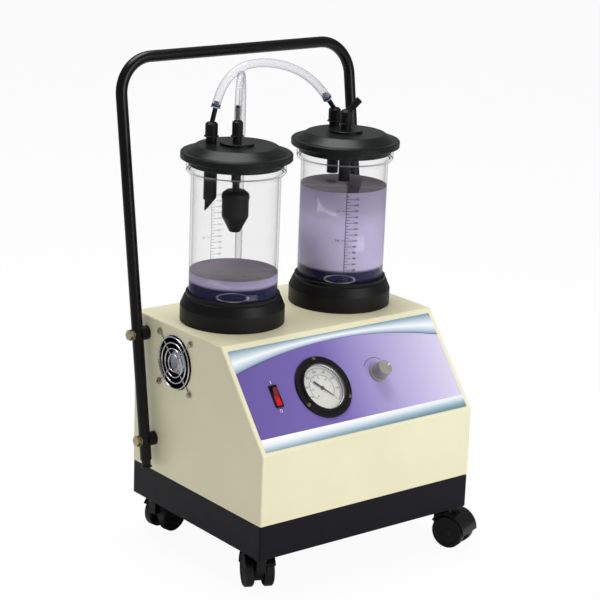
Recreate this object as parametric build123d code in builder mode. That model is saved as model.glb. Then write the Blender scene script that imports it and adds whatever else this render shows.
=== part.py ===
from build123d import *
import os
from math import atan2, cos, degrees, hypot, pi, radians, sin, tan

os.makedirs("parts", exist_ok=True)

# Twin jar vacuum aspirator on casters, in millimetres. The origin lies on the floor under the
# middle of the cabinet, the control panel looks to -Y, and +Z is up.

# Cabinet and base tray, folded from sheet steel
cabinet_width = 365
cabinet_depth = 300
tray_clearance = 57
tray_height = 48
front_height = 97
slope_rise = 123
slope_setback = 98
sheet = 1.2
tray_sheet = 1.5
flange_width = 12
fold_radius = 2.5
tray_corner_radius = 3

# Rear panel with its louvres
panel_margin = 1
vent_width = 46
vent_height = 4
vent_pitch = 11
vent_rows = 7
vent_columns = 2
vent_spacing = 110
vent_centre_height = 235
rear_screw_inset = 6.5

# Screws that hold sheet metal
screw_radius = 2
screw_head_radius = 3.8
screw_head_height = 2.4
screw_length = 8
hole_clearance = 0.2

# Printed film on the sloping panel
film = 0.4
film_side_margin = 7
film_top_margin = 8
film_bottom_margin = 5
film_corner_radius = 2

# Vacuum gauge, with distances down the slope from its upper fold
gauge_x = -49
gauge_down = 82
gauge_flange_radius = 44.2
gauge_flange = 3
gauge_bezel_height = 6
gauge_bezel_radius = 36.8
gauge_window_radius = 33
gauge_barrel_radius = 35
gauge_depth = 34
gauge_wall = 2
gauge_screw_circle = 40.4
gauge_screw_radius = 1.6
gauge_screw_head = 2.9
dial_thickness = 1
dial_recess = 3
lens_thickness = 1.5
needle_tip = 21
needle_tail = 14.5
needle_thickness = 0.8
needle_hub_radius = 2.8
needle_pin_radius = 1
needle_rest_angle = -45

# Rocker switch
switch_x = -128
switch_down = 81
switch_width = 13
switch_length = 32
switch_bezel = 2
switch_frame = 1.6
switch_depth = 22
rocker_tilt = 9
rocker_gap = 0.35
rocker_proud = 3.4
terminal_width = 4.8
terminal_length = 8

# Vacuum regulator and its knob
knob_x = 48.5
knob_down = 78
knob_skirt_radius = 13.5
knob_face_radius = 10.8
knob_length = 20
knob_skirt = 3
knob_gap = 0.6
knob_bore_depth = 13
knob_flutes = 18
pointer_angle = 24
valve_spindle_radius = 3
valve_nut_radius = 5.5
valve_body_radius = 10
valve_body_length = 30

# Jars and the rings that they stand in
jar_pitch = 188
jar_y = 45
ring_radius = 72
ring_wall = 3
ring_side = 22
ring_shoulder = 34.5
ring_height = 41
ring_floor = 8
ring_floor_thickness = 3
ring_boss_radius = 4.5
ring_boss_circle = 46
jar_radius = 61
jar_wall = 3
jar_bottom = 4
jar_height = 218
jar_collar_radius = 67.9
jar_collar_height = 20.5
jar_dimple_radius = 25
jar_dimple = 3
jar_gap = 0.6

# Push-on lids, with heights above the top of the jar collar
lid_radius = 76
lid_skirt = 3
lid_rim = 9
lid_dome_foot = 67.5
lid_dome_top = 54
lid_dome_rise = 9.5
lid_thickness = 3.5
lid_disc_radius = 23.3
lid_disc = 3.5
lid_plug = 15
lid_plug_wall = 3.1
gasket_thickness = 2

# Hose fittings on the lids
fitting_circle = 36.5
fitting_left_angle = 126
fitting_right_angle = 78
fitting_stub_radius = 6
fitting_stub_below = 9
fitting_neck = 8
fitting_ring = 1.6
fitting_ring_proud = 1.6
fitting_body_radius = 8.6
fitting_slim_radius = 7.4
fitting_height = 28
fitting_slim_height = 30
fitting_crown = 3
fitting_bore = 2.2
riser_bore = 2.7
barb_radius = 3.3
barb_ridge = 0.6
barb_length = 31
barb_straight_length = 20
link_tilt_left = 15
link_tilt_right = 41
port_tilt = 41
port_heading = -38.5
port_radius = 5
port_neck_radius = 4.1
port_bore = 3
port_length = 26
port_seat_length = 13
port_chamfer = 0.5

# Tubes and overflow valve under the lids
inlet_tube_radius = 9
inlet_tube_length = 75
inlet_tip_radius = 7
inlet_tip_length = 16
drop_tube_radius = 8
drop_tube_side_length = 62
drop_tube_centre_length = 66
stem_radius = 6.5
stem_length = 48
stem_neck_radius = 4.9
stem_neck = 11
overflow_radius = 19
overflow_length = 36
overflow_cone = 21
overflow_foot_radius = 7.5
overflow_wall = 1.6
float_radius = 14.5
float_length = 16
float_lift = 5
float_gap = 0.4

# Clear hoses
link_hose_radius = 6
vacuum_hose_radius = 5
hose_bore_gap = 0.1
hose_overlap = 9

# Vacuum port on the cabinet top
port_x = -32.5
port_y = 118
port_flange_radius = 8
port_flange = 3
port_height = 24
port_thread_radius = 5
port_thread = 18
nut_height = 5
nut_across = 14

# Push handle of steel tube and its fixings
handle_radius = 8
handle_wall = 1.5
handle_offset = 15.5
handle_lean = 8.4
handle_corner_radius = 50
handle_foot_y = 94
handle_foot_z = 116
handle_length = 562
cap_flange = 2
cap_plug = 12
spacer_radius = 9.75
bolt_heights = (37, 186)
bolt_radius = 4
bolt_across = 13
bolt_head = 5.3
washer_radius = 8
washer = 1.6

# Cooling fan behind the left wall
fan_y = 52
fan_z = 275
fan_size = 80
fan_thickness = 25
fan_bore_radius = 38
fan_screw_pitch = 71.5
fan_hub_radius = 15.5
fan_strut = 3
fan_blades = 7
fan_blade_radius = 36.8
fan_blade_chord = 19
fan_blade_thickness = 1.6
fan_blade_pitch = 38
grille_radii = (12, 20, 28, 36)
grille_wire = 0.9
grille_eye_radius = 4.6

# Twin wheel casters: stem insets from the tray's sides, and the swivel angle of each at rest
caster_inset_x = 22
caster_inset_y = 26
caster_trail = 20
wheel_radius = 23.5
wheel_width = 13
wheel_inner = 7
wheel_edge = 2
wheel_dish = 0.8
axle_radius = 3
hood_radius = 27.5
hood_wall = 2.2
hood_sweep = 150
web_thickness = 13
web_radius = 15.5
caster_socket_radius = 10
caster_socket = 6.5
caster_stem_radius = 5
caster_stem_length = 21
caster_collar_radius = 9
caster_collar = 3.7
caster_nut_across = 17
caster_nut = 8
running_gap = 0.05
casters = {
    "front_left": (-1, -1, 64),
    "front_right": (1, -1, -70),
    "rear_left": (-1, 1, 12),
    "rear_right": (1, 1, 150),
}

# Oil free piston pump on the tray floor, its shaft along X
pump_y = 30
pump_z = 160
motor_radius = 50
motor_left = -72
motor_right = 40
motor_fin = 3
motor_fins = 20
foot_thickness = 3
foot_width = 124
foot_depth = 96
mount_radius = 10
mount_height = 18
shaft_radius = 6
shaft_left = -100
bearing_radius = 13
bearing_width = 8
impeller_radius = 40
impeller_blades = 8
eccentric_radius = 12
eccentric_throw = 4
eccentric_width = 14
crankcase_left = 42
crankcase_length = 44
crankcase_wall = 5
crankcase_width = 76
crankcase_height = 50
rod_length = 76
rod_ring = 5
rod_width = 12
piston_radius = 21
piston_height = 10
cylinder_gap = 0.6
cylinder_wall = 4
cylinder_height = 42
cylinder_fins = 4
cylinder_fin = 2.5
cylinder_fin_reach = 6
head_size = 66
head_height = 20
silencer_radius = 9
silencer_length = 28
capacitor_x = -120
capacitor_y = -85
capacitor_radius = 18
capacitor_height = 62

# Inner tubes and the barbs that they are pushed over
tube_radius = 4
tube_barb_radius = 2.6
tube_barb_length = 14
tube_overlap = 10

# Appliance inlet on the rear panel
inlet_x = 118
inlet_z = 150
inlet_width = 28
inlet_height = 20
inlet_flange_width = 50
inlet_flange_height = 23
inlet_flange = 3
inlet_depth = 18
inlet_screw_pitch = 40
inlet_pin_spacing = 7

# Places that follow from the sizes above
half_width = cabinet_width / 2
half_depth = cabinet_depth / 2
tray_top = tray_clearance + tray_height
slope_foot = tray_top + front_height
cabinet_top = slope_foot + slope_rise
shell_rear = half_depth - sheet
slope_length = hypot(slope_setback, slope_rise)
slope = Plane(
    origin=(0, slope_setback - half_depth, cabinet_top),
    x_dir=(1, 0, 0),
    z_dir=(0, -slope_rise, slope_setback),
)


def on_slope(x, down, height=0):
    """Plane parallel to the sloping panel, centred on one of its controls."""
    return Plane(
        origin=slope.from_local_coords(Vector(x, -down, height)),
        x_dir=slope.x_dir,
        z_dir=slope.z_dir,
    )


def section_of(base):
    """Plane through the normal of base: its x runs outwards and its y along that normal."""
    return Plane(origin=base.origin, x_dir=base.x_dir, z_dir=base.x_dir.cross(base.z_dir))


def turn(base, outline, mode=Mode.ADD):
    """Turn an outline of (radius, height) points about the normal of base."""
    with BuildSketch(section_of(base)) as profile:
        with BuildLine():
            Polyline(*outline, close=True)
        make_face()
    revolve(profile.sketch, axis=Axis(base.origin, base.z_dir), mode=mode)


def spun(base, angle):
    """Base turned about its own normal."""
    return Plane(
        origin=base.origin,
        x_dir=base.x_dir.rotate(Axis((0, 0, 0), base.z_dir), angle),
        z_dir=base.z_dir,
    )


def tilted(point, tilt, heading):
    """Plane at a point whose normal leans by tilt from the vertical towards heading."""
    lean, way = radians(tilt), radians(heading)
    normal = (sin(lean) * cos(way), sin(lean) * sin(way), cos(lean))
    return Plane(origin=point, x_dir=(-sin(way), cos(way), 0), z_dir=normal)


def corner_radii(points):
    """Largest arc that each corner of a hose route allows: 0.45 of its shorter run."""
    radii = []
    for before, corner, after in zip(points, points[1:], points[2:]):
        first, second = corner - before, after - corner
        shorter = min(first.length, second.length)
        radii.append(0.45 * shorter / tan(radians(first.get_angle(second)) / 2))
    return radii


# Base tray: a folded pan with an inward flange that the cabinet stands on
caster_places = {
    corner: (side * (half_width - caster_inset_x), end * (half_depth - caster_inset_y))
    for corner, (side, end, _) in casters.items()
}
with BuildPart() as base_tray:
    with BuildSketch(Plane.XY.offset(tray_clearance)):
        RectangleRounded(cabinet_width, cabinet_depth, tray_corner_radius)
    extrude(amount=tray_height)
    with BuildSketch(Plane.XY.offset(tray_clearance + tray_sheet)):
        RectangleRounded(
            cabinet_width - 2 * tray_sheet,
            cabinet_depth - 2 * tray_sheet,
            tray_corner_radius - tray_sheet,
        )
    extrude(amount=tray_height - 2 * tray_sheet, mode=Mode.SUBTRACT)
    with BuildSketch(Plane.XY.offset(tray_top - tray_sheet)):
        Rectangle(cabinet_width - 2 * flange_width, cabinet_depth - 2 * flange_width)
    extrude(amount=tray_sheet, mode=Mode.SUBTRACT)
    with BuildSketch(Plane.XY.offset(tray_clearance)):
        with Locations(*caster_places.values()):
            Circle(caster_stem_radius + hole_clearance)
    extrude(amount=tray_sheet, mode=Mode.SUBTRACT)
base_tray.part.label = "base_tray"
export_step(base_tray.part, "parts/base_tray.step")

# Places on the walls that several pieces share
ring_places = {"left": -jar_pitch / 2, "right": jar_pitch / 2}
gauge_plane = on_slope(gauge_x, gauge_down)
switch_plane = on_slope(switch_x, switch_down)
knob_plane = on_slope(knob_x, knob_down)
port_plane = Plane(origin=(port_x, port_y, cabinet_top))
fan_plane = Plane(origin=(sheet - half_width, fan_y, fan_z), x_dir=(0, -1, 0), z_dir=(-1, 0, 0))
gauge_hole = gauge_barrel_radius + 0.5
switch_hole = (switch_width - 2 * switch_frame + 1, switch_length - 2 * switch_frame + 1)
lean = radians(handle_lean)
handle_x = half_width + handle_offset
handle_plane = Plane(
    origin=(0, handle_foot_y, handle_foot_z), x_dir=(1, 0, 0), z_dir=(0, -cos(lean), sin(lean))
)
bolt_places = [
    (handle_foot_y + height * sin(lean), handle_foot_z + height * cos(lean))
    for height in bolt_heights
]
rear_screw_places = [
    (side * (half_width - rear_screw_inset), height)
    for side in (-1, 1)
    for height in (
        tray_top + rear_screw_inset,
        (tray_top + cabinet_top) / 2,
        cabinet_top - rear_screw_inset,
    )
]

# Cabinet: front, slope, top and sides in one folded shell, open at the back and below
side_outline = [
    (-half_depth, tray_top),
    (-half_depth, slope_foot),
    (slope_setback - half_depth, cabinet_top),
    (shell_rear, cabinet_top),
    (shell_rear, tray_top),
]
with BuildPart() as cabinet_shell:
    with BuildSketch(Plane.YZ.offset(-half_width)):
        with BuildLine():
            Polyline(*side_outline, close=True)
        make_face()
    extrude(amount=cabinet_width)
    floor_edges = cabinet_shell.faces().sort_by(Axis.Z)[0].edges()
    rear_edges = cabinet_shell.faces().sort_by(Axis.Y)[-1].edges()
    fillet(cabinet_shell.edges() - floor_edges - rear_edges, fold_radius)
    with BuildSketch(Plane.YZ.offset(sheet - half_width)):
        with BuildLine():
            Polyline(*side_outline, close=True)
        make_face()
        offset(amount=-sheet, kind=Kind.INTERSECTION, mode=Mode.REPLACE)
    extrude(amount=cabinet_width - 2 * sheet, mode=Mode.SUBTRACT)
    with BuildSketch(Plane.XY.offset(tray_top)):
        Rectangle(cabinet_width - 2 * flange_width, cabinet_depth - 2 * flange_width)
    extrude(amount=sheet, mode=Mode.SUBTRACT)
    with BuildSketch(Plane.XZ.offset(-shell_rear)):
        with Locations((0, (tray_top + cabinet_top) / 2)):
            Rectangle(
                cabinet_width - 2 * flange_width, cabinet_top - tray_top - 2 * flange_width
            )
        with Locations(*rear_screw_places):
            Circle(screw_radius + hole_clearance)
    extrude(amount=sheet, mode=Mode.SUBTRACT)
    with BuildSketch(slope):
        with Locations((gauge_x, -gauge_down)):
            Circle(gauge_hole)
            with PolarLocations(gauge_screw_circle, 3, start_angle=90):
                Circle(gauge_screw_radius + hole_clearance)
        with Locations((switch_x, -switch_down)):
            Rectangle(*switch_hole)
        with Locations((knob_x, -knob_down)):
            Circle(valve_nut_radius - 1)
    extrude(amount=-2 * sheet, mode=Mode.SUBTRACT)
    with BuildSketch(Plane.XY.offset(cabinet_top)):
        with Locations((port_x, port_y)):
            Circle(port_thread_radius + hole_clearance)
        with Locations((-jar_pitch / 2, jar_y), (jar_pitch / 2, jar_y)):
            with PolarLocations(ring_boss_circle, 3):
                Circle(screw_radius + hole_clearance)
    extrude(amount=-sheet, mode=Mode.SUBTRACT)
    with BuildSketch(fan_plane):
        Circle(fan_bore_radius)
        with GridLocations(fan_screw_pitch, fan_screw_pitch, 2, 2):
            Circle(screw_radius + hole_clearance)
    extrude(amount=sheet, mode=Mode.SUBTRACT)
    with BuildSketch(Plane.YZ.offset(-half_width)):
        with Locations(*bolt_places):
            Circle(bolt_radius + hole_clearance)
    extrude(amount=cabinet_width, mode=Mode.SUBTRACT)
cabinet_shell.part.label = "cabinet_shell"
export_step(cabinet_shell.part, "parts/cabinet_shell.step")

# Rear panel: a flat sheet screwed to the cabinet's rear flanges, with two columns of louvres
with BuildPart() as rear_panel:
    with BuildSketch(Plane.XZ.offset(-half_depth)):
        with Locations((0, (tray_top + cabinet_top) / 2)):
            RectangleRounded(
                cabinet_width - 2 * panel_margin,
                cabinet_top - tray_top - 2 * panel_margin,
                fold_radius,
            )
        with Locations(*rear_screw_places):
            Circle(screw_radius + hole_clearance, mode=Mode.SUBTRACT)
        with Locations((0, vent_centre_height)):
            with GridLocations(vent_spacing, vent_pitch, vent_columns, vent_rows):
                SlotOverall(vent_width, vent_height, mode=Mode.SUBTRACT)
        with Locations((inlet_x, inlet_z)):
            Rectangle(inlet_width + 1, inlet_height + 1, mode=Mode.SUBTRACT)
            with GridLocations(inlet_screw_pitch, 0, 2, 1):
                Circle(gauge_screw_radius + hole_clearance, mode=Mode.SUBTRACT)
    extrude(amount=sheet)
rear_panel.part.label = "rear_panel"
export_step(rear_panel.part, "parts/rear_panel.step")

# Printed film stuck on the slope, cut out round the controls
film_height = slope_length - film_top_margin - film_bottom_margin
with BuildPart() as fascia_film:
    with BuildSketch(slope):
        with Locations((0, -film_top_margin - film_height / 2)):
            RectangleRounded(
                cabinet_width - 2 * film_side_margin, film_height, film_corner_radius
            )
        with Locations((gauge_x, -gauge_down)):
            Circle(gauge_hole, mode=Mode.SUBTRACT)
            with PolarLocations(gauge_screw_circle, 3, start_angle=90):
                Circle(gauge_screw_radius + hole_clearance, mode=Mode.SUBTRACT)
        with Locations((switch_x, -switch_down)):
            Rectangle(*switch_hole, mode=Mode.SUBTRACT)
        with Locations((knob_x, -knob_down)):
            Circle(valve_nut_radius + 0.5, mode=Mode.SUBTRACT)
    extrude(amount=film)
fascia_film.part.label = "fascia_film"
export_step(fascia_film.part, "parts/fascia_film.step")

# Gauge case: flange on the film, raised bezel round the window, barrel behind the panel
with BuildPart() as gauge_case:
    face_plane = on_slope(gauge_x, gauge_down, film)
    lens_seat = gauge_bezel_height - 1 - lens_thickness
    inner = gauge_barrel_radius - gauge_wall
    turn(
        face_plane,
        [
            (0, -gauge_depth),
            (gauge_barrel_radius, -gauge_depth),
            (gauge_barrel_radius, 0),
            (gauge_flange_radius, 0),
            (gauge_flange_radius, gauge_flange - 1),
            (gauge_flange_radius - 1, gauge_flange),
            (gauge_bezel_radius, gauge_flange),
            (gauge_bezel_radius - 1.5, gauge_bezel_height),
            (gauge_window_radius, gauge_bezel_height),
            (gauge_window_radius, lens_seat + lens_thickness),
            (gauge_window_radius + 1.2, lens_seat + lens_thickness),
            (gauge_window_radius + 1.2, lens_seat),
            (inner, lens_seat),
            (inner, -gauge_depth + gauge_wall),
            (0, -gauge_depth + gauge_wall),
        ],
    )
    with BuildSketch(face_plane):
        with PolarLocations(gauge_screw_circle, 3, start_angle=90):
            Circle(gauge_screw_radius + hole_clearance)
    extrude(amount=gauge_flange, mode=Mode.SUBTRACT)
    turn(
        on_slope(gauge_x, gauge_down, film - gauge_depth - tube_barb_length),
        [
            (0, 0),
            (tube_barb_radius, 0),
            (tube_barb_radius, tube_barb_length),
            (0, tube_barb_length),
        ],
    )
gauge_case.part.label = "gauge_case"
export_step(gauge_case.part, "parts/gauge_case.step")

# Gauge dial: a white disc on its spindle boss
dial_plane = on_slope(gauge_x, gauge_down, film - dial_recess - dial_thickness)
with BuildPart() as gauge_dial:
    turn(
        dial_plane,
        [
            (needle_pin_radius + running_gap, 0),
            (gauge_barrel_radius - gauge_wall, 0),
            (gauge_barrel_radius - gauge_wall, dial_thickness),
            (needle_pin_radius + running_gap, dial_thickness),
        ],
    )
gauge_dial.part.label = "gauge_dial"
export_step(gauge_dial.part, "parts/gauge_dial.step")

# Gauge needle on its pin, turned to the zero at the lower right
needle_plane = spun(dial_plane.offset(dial_thickness + 1), needle_rest_angle)
with BuildPart() as gauge_needle:
    with BuildSketch(needle_plane):
        with BuildLine():
            Polyline(
                (needle_tip, 0),
                (0, 1.1),
                (-needle_tail, 1.6),
                (-needle_tail, -1.6),
                (0, -1.1),
                close=True,
            )
        make_face()
        Circle(needle_hub_radius)
    extrude(amount=needle_thickness)
    with BuildSketch(needle_plane):
        Circle(needle_pin_radius)
    extrude(amount=-gauge_depth / 2)
gauge_needle.part.label = "gauge_needle"
export_step(gauge_needle.part, "parts/gauge_needle.step")

# Gauge window of clear sheet, held behind the lip of the bezel
with BuildPart() as gauge_lens:
    with BuildSketch(on_slope(gauge_x, gauge_down, film + lens_seat)):
        Circle(gauge_window_radius + 1.1)
    extrude(amount=lens_thickness)
gauge_lens.part.label = "gauge_lens"
export_step(gauge_lens.part, "parts/gauge_lens.step")

# Gauge screws through the flange
with BuildPart() as gauge_screws:
    for angle in (90, 210, 330):
        turned = radians(angle)
        spot = face_plane.from_local_coords(
            Vector(gauge_screw_circle * cos(turned), gauge_screw_circle * sin(turned), 0)
        )
        turn(
            Plane(origin=spot, x_dir=slope.x_dir, z_dir=slope.z_dir),
            [
                (0, -screw_length),
                (gauge_screw_radius, -screw_length),
                (gauge_screw_radius, gauge_flange),
                (gauge_screw_head, gauge_flange),
                (gauge_screw_head - 0.8, gauge_flange + 1.6),
                (0, gauge_flange + 1.6),
            ],
        )
gauge_screws.part.label = "gauge_screws"
export_step(gauge_screws.part, "parts/gauge_screws.step")

# Switch housing: a bezel on the film and a snap-in body with its two terminals
switch_face = on_slope(switch_x, switch_down, film)
opening_width = switch_width - 2 * switch_frame - 1.2
opening_length = switch_length - 2 * switch_frame - 1.2
with BuildPart() as switch_housing:
    with BuildSketch(switch_face):
        RectangleRounded(switch_width, switch_length, 1)
    extrude(amount=switch_bezel, taper=8)
    with BuildSketch(switch_face):
        Rectangle(switch_width - 2 * switch_frame + 0.6, switch_length - 2 * switch_frame + 0.6)
    extrude(amount=-switch_depth)
    with BuildSketch(switch_face.offset(switch_bezel)):
        Rectangle(opening_width, opening_length)
    extrude(amount=-switch_depth + 4, mode=Mode.SUBTRACT)
    with BuildSketch(switch_face.offset(-switch_depth)):
        with GridLocations(0, switch_length / 2, 1, 2):
            Rectangle(terminal_width, 0.8)
    extrude(amount=-terminal_length)
switch_housing.part.label = "switch_housing"
export_step(switch_housing.part, "parts/switch_housing.step")

# Rocker: two faces that meet in a shallow angle, tipped with its upper end pressed in
rocker_pivot = on_slope(switch_x, switch_down, film - 2)
rocker_plane = rocker_pivot.rotated((rocker_tilt, 0, 0))
rocker_half = (opening_length / 2 - rocker_gap) * cos(radians(rocker_tilt)) - 0.6
with BuildPart() as switch_rocker:
    side_plane = Plane(
        origin=rocker_plane.origin, x_dir=rocker_plane.y_dir, z_dir=rocker_plane.x_dir
    )
    with BuildSketch(side_plane.offset(rocker_gap - opening_width / 2)):
        with BuildLine():
            Polyline(
                (-rocker_half, rocker_proud + 2.6),
                (0, rocker_proud + 0.4),
                (rocker_half, rocker_proud + 2.6),
                (rocker_half - 3, -4),
                (0, -6),
                (3 - rocker_half, -4),
                close=True,
            )
        make_face()
    extrude(amount=opening_width - 2 * rocker_gap)
switch_rocker.part.label = "switch_rocker"
export_step(switch_rocker.part, "parts/switch_rocker.step")

# Regulator valve: spindle, nut on the panel, body and side barb behind it
with BuildPart() as regulator_valve:
    turn(
        knob_plane,
        [
            (0, -sheet - valve_body_length - tube_barb_length),
            (tube_barb_radius, -sheet - valve_body_length - tube_barb_length),
            (tube_barb_radius, -sheet - valve_body_length),
            (valve_body_radius, -sheet - valve_body_length),
            (valve_body_radius, -sheet),
            (valve_nut_radius - 1.2, -sheet),
            (valve_nut_radius - 1.2, 0),
            (valve_nut_radius, 0),
            (valve_nut_radius, 2),
            (valve_spindle_radius, 2),
            (valve_spindle_radius, knob_gap + knob_bore_depth - 0.5),
            (0, knob_gap + knob_bore_depth - 0.5),
        ],
    )
    barb_root = knob_plane.from_local_coords(Vector(0, 0, -sheet - 0.7 * valve_body_length))
    with BuildSketch(Plane(origin=barb_root, z_dir=(-1, 0, 0))):
        Circle(tube_barb_radius)
    extrude(amount=valve_body_radius + tube_barb_length)
regulator_valve.part.label = "regulator_valve"
export_step(regulator_valve.part, "parts/regulator_valve.step")

# Knob: tapered and fluted above a plain skirt, with a pointer line in its face
knob_base = on_slope(knob_x, knob_down, film + knob_gap)
with BuildPart() as vacuum_knob:
    grip_radius = knob_skirt_radius - 1.4
    turn(
        knob_base,
        [
            (0, 0),
            (knob_skirt_radius, 0),
            (knob_skirt_radius, knob_skirt - 1),
            (knob_skirt_radius - 1, knob_skirt),
            (grip_radius, knob_skirt),
            (knob_face_radius, knob_length - 1),
            (knob_face_radius - 1, knob_length),
            (0, knob_length),
        ],
    )
    for flute in range(knob_flutes):
        around = radians(360 * flute / knob_flutes)
        foot = Vector((grip_radius + 0.55) * cos(around), (grip_radius + 0.55) * sin(around), knob_skirt)
        peak = Vector(
            (knob_face_radius + 0.55) * cos(around), (knob_face_radius + 0.55) * sin(around), knob_length
        )
        foot, peak = knob_base.from_local_coords(foot), knob_base.from_local_coords(peak)
        with BuildSketch(Plane(origin=foot, z_dir=peak - foot)):
            Circle(1)
        extrude(amount=knob_length, mode=Mode.SUBTRACT)
    with BuildSketch(knob_base):
        Circle(valve_spindle_radius + running_gap)
    extrude(amount=knob_bore_depth, mode=Mode.SUBTRACT)
    with BuildSketch(knob_base):
        Circle(valve_nut_radius + 0.6)
    extrude(amount=2, mode=Mode.SUBTRACT)
    pointer = spun(knob_base.offset(knob_length), pointer_angle)
    with BuildSketch(pointer):
        with Locations((knob_face_radius - 3, 0)):
            Rectangle(5, 1.2)
    extrude(amount=-0.6, mode=Mode.SUBTRACT)
vacuum_knob.part.label = "vacuum_knob"
export_step(vacuum_knob.part, "parts/vacuum_knob.step")

# Jar rings: moulded seats with a sloping shoulder and a lip, on bosses for screws from below
seat = ring_floor + ring_floor_thickness
ring_bore = jar_radius + jar_gap
for side, x in ring_places.items():
    with BuildPart() as jar_ring:
        jar_axis = Plane(origin=(x, jar_y, cabinet_top))
        turn(
            jar_axis,
            [
                (0, ring_floor),
                (ring_radius - ring_wall, ring_floor),
                (ring_radius - ring_wall, 0),
                (ring_radius, 0),
                (ring_radius, ring_side),
                (ring_bore + 5, ring_shoulder),
                (ring_bore + 3, ring_shoulder + 1),
                (ring_bore + 3, ring_height - 1),
                (ring_bore + 2, ring_height),
                (ring_bore, ring_height),
                (ring_bore, seat),
                (0, seat),
            ],
        )
        with BuildSketch(jar_axis):
            with PolarLocations(ring_boss_circle, 3):
                Circle(ring_boss_radius)
        extrude(amount=ring_floor)
        with BuildSketch(jar_axis):
            with PolarLocations(ring_boss_circle, 3):
                Circle(screw_radius + 0.1)
        extrude(amount=ring_floor + 1, mode=Mode.SUBTRACT)
    jar_ring.part.label = f"jar_ring_{side}"
    export_step(jar_ring.part, f"parts/jar_ring_{side}.step")

# Jars: clear cylinders with a dimpled bottom and a wider collar for the lid
collar_top = seat + jar_height
collar_foot = collar_top - jar_collar_height
collar_flare = jar_collar_radius - jar_radius
inner_radius = jar_radius - jar_wall
jar_floor = seat + jar_bottom
for side, x in ring_places.items():
    with BuildPart() as jar:
        turn(
            Plane(origin=(x, jar_y, cabinet_top)),
            [
                (0, seat + jar_dimple),
                (jar_dimple_radius - 1.5, seat + jar_dimple),
                (jar_dimple_radius + 1.5, seat),
                (jar_radius - 5, seat),
                (jar_radius - 1.5, seat + 1.5),
                (jar_radius, seat + 5),
                (jar_radius, collar_foot - collar_flare),
                (jar_collar_radius - 1, collar_foot - 0.5),
                (jar_collar_radius, collar_foot + 1),
                (jar_collar_radius, collar_top),
                (jar_collar_radius - jar_wall, collar_top),
                (jar_collar_radius - jar_wall, collar_foot + 2),
                (inner_radius, collar_foot + 2 - collar_flare),
                (inner_radius, jar_floor + 3),
                (inner_radius - 3, jar_floor),
                (jar_dimple_radius + 1.5, jar_floor),
                (jar_dimple_radius - 1.5, jar_floor + jar_dimple),
                (0, jar_floor + jar_dimple),
            ],
        )
    jar.part.label = f"jar_{side}"
    export_step(jar.part, f"parts/jar_{side}.step")

# Lids and their flat gaskets; the heights are above the cabinet top
plug_radius = jar_collar_radius - jar_wall - 0.4
rim_under = collar_top + gasket_thickness
rim_top = rim_under + lid_thickness
rim_low = rim_top - lid_rim
dome_top = rim_top + lid_dome_rise
disc_top = dome_top + lid_disc
under = dome_top - lid_thickness
plug_bore = plug_radius - lid_plug_wall
fitting_angles = {"left": fitting_left_angle, "right": fitting_right_angle}
fitting_places = {
    side: (
        x + fitting_circle * cos(radians(fitting_angles[side])),
        jar_y + fitting_circle * sin(radians(fitting_angles[side])),
    )
    for side, x in ring_places.items()
}
for side, x in ring_places.items():
    jar_axis = Plane(origin=(x, jar_y, cabinet_top))
    with BuildPart() as lid:
        turn(
            jar_axis,
            [
                (0, under),
                (lid_dome_top - 2, under),
                (plug_bore, rim_under + 2),
                (plug_bore, rim_under - lid_plug),
                (plug_radius - 1, rim_under - lid_plug),
                (plug_radius, rim_under - lid_plug + 1),
                (plug_radius, rim_under),
                (lid_radius - lid_skirt, rim_under),
                (lid_radius - lid_skirt, rim_low),
                (lid_radius - 0.6, rim_low),
                (lid_radius, rim_low + 0.6),
                (lid_radius, rim_top - 1.2),
                (lid_radius - 1.2, rim_top),
                (lid_dome_foot + 1, rim_top),
                (lid_dome_foot, rim_top + 0.8),
                (lid_dome_top + 1.8, dome_top - 0.8),
                (lid_dome_top - 0.5, dome_top),
                (lid_disc_radius, dome_top),
                (lid_disc_radius, disc_top - 0.6),
                (lid_disc_radius - 0.6, disc_top),
                (0, disc_top),
            ],
        )
        with BuildSketch(Plane.XY.offset(cabinet_top + under)):
            with Locations((x, jar_y), fitting_places[side]):
                Circle(fitting_stub_radius + running_gap)
        extrude(amount=disc_top - under, mode=Mode.SUBTRACT)
    lid.part.label = f"lid_{side}"
    export_step(lid.part, f"parts/lid_{side}.step")
    with BuildPart() as gasket:
        turn(
            jar_axis,
            [
                (plug_radius + 0.4, collar_top),
                (jar_collar_radius, collar_top),
                (jar_collar_radius, rim_under),
                (plug_radius + 0.4, rim_under),
            ],
        )
    gasket.part.label = f"lid_gasket_{side}"
    export_step(gasket.part, f"parts/lid_gasket_{side}.step")


def add_fitting(base, body_radius, height, wall):
    """Upright body of a hose fitting, with its stub through a lid of the given thickness."""
    neck_radius = body_radius - 1.3
    turn(
        base,
        [
            (0, -wall - fitting_stub_below),
            (fitting_stub_radius, -wall - fitting_stub_below),
            (fitting_stub_radius, 0),
            (neck_radius, 0),
            (neck_radius, fitting_neck),
            (body_radius + fitting_ring_proud, fitting_neck),
            (body_radius + fitting_ring_proud, fitting_neck + fitting_ring / 2),
            (body_radius, fitting_neck + fitting_ring),
            (body_radius, height - fitting_crown),
            (body_radius - fitting_crown + 0.6, height - 0.6),
            (barb_radius + 1, height),
            (0, height),
        ],
    )


def add_barb(base, radius, length, bore, ridges):
    """Barb along the normal of base, with saw-tooth ridges near its end and a bore."""
    tooth = 2.6
    outline = [(0, 0), (radius, 0)]
    for ridge in range(ridges):
        step = length - (ridges - ridge) * tooth
        outline += [(radius, step), (radius + barb_ridge, step), (radius, step + tooth - 0.2)]
    turn(base, outline + [(radius, length), (0, length)])
    with BuildSketch(base) as hole:
        Circle(bore)
    extrude(hole.sketch, amount=length, mode=Mode.SUBTRACT)


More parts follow.
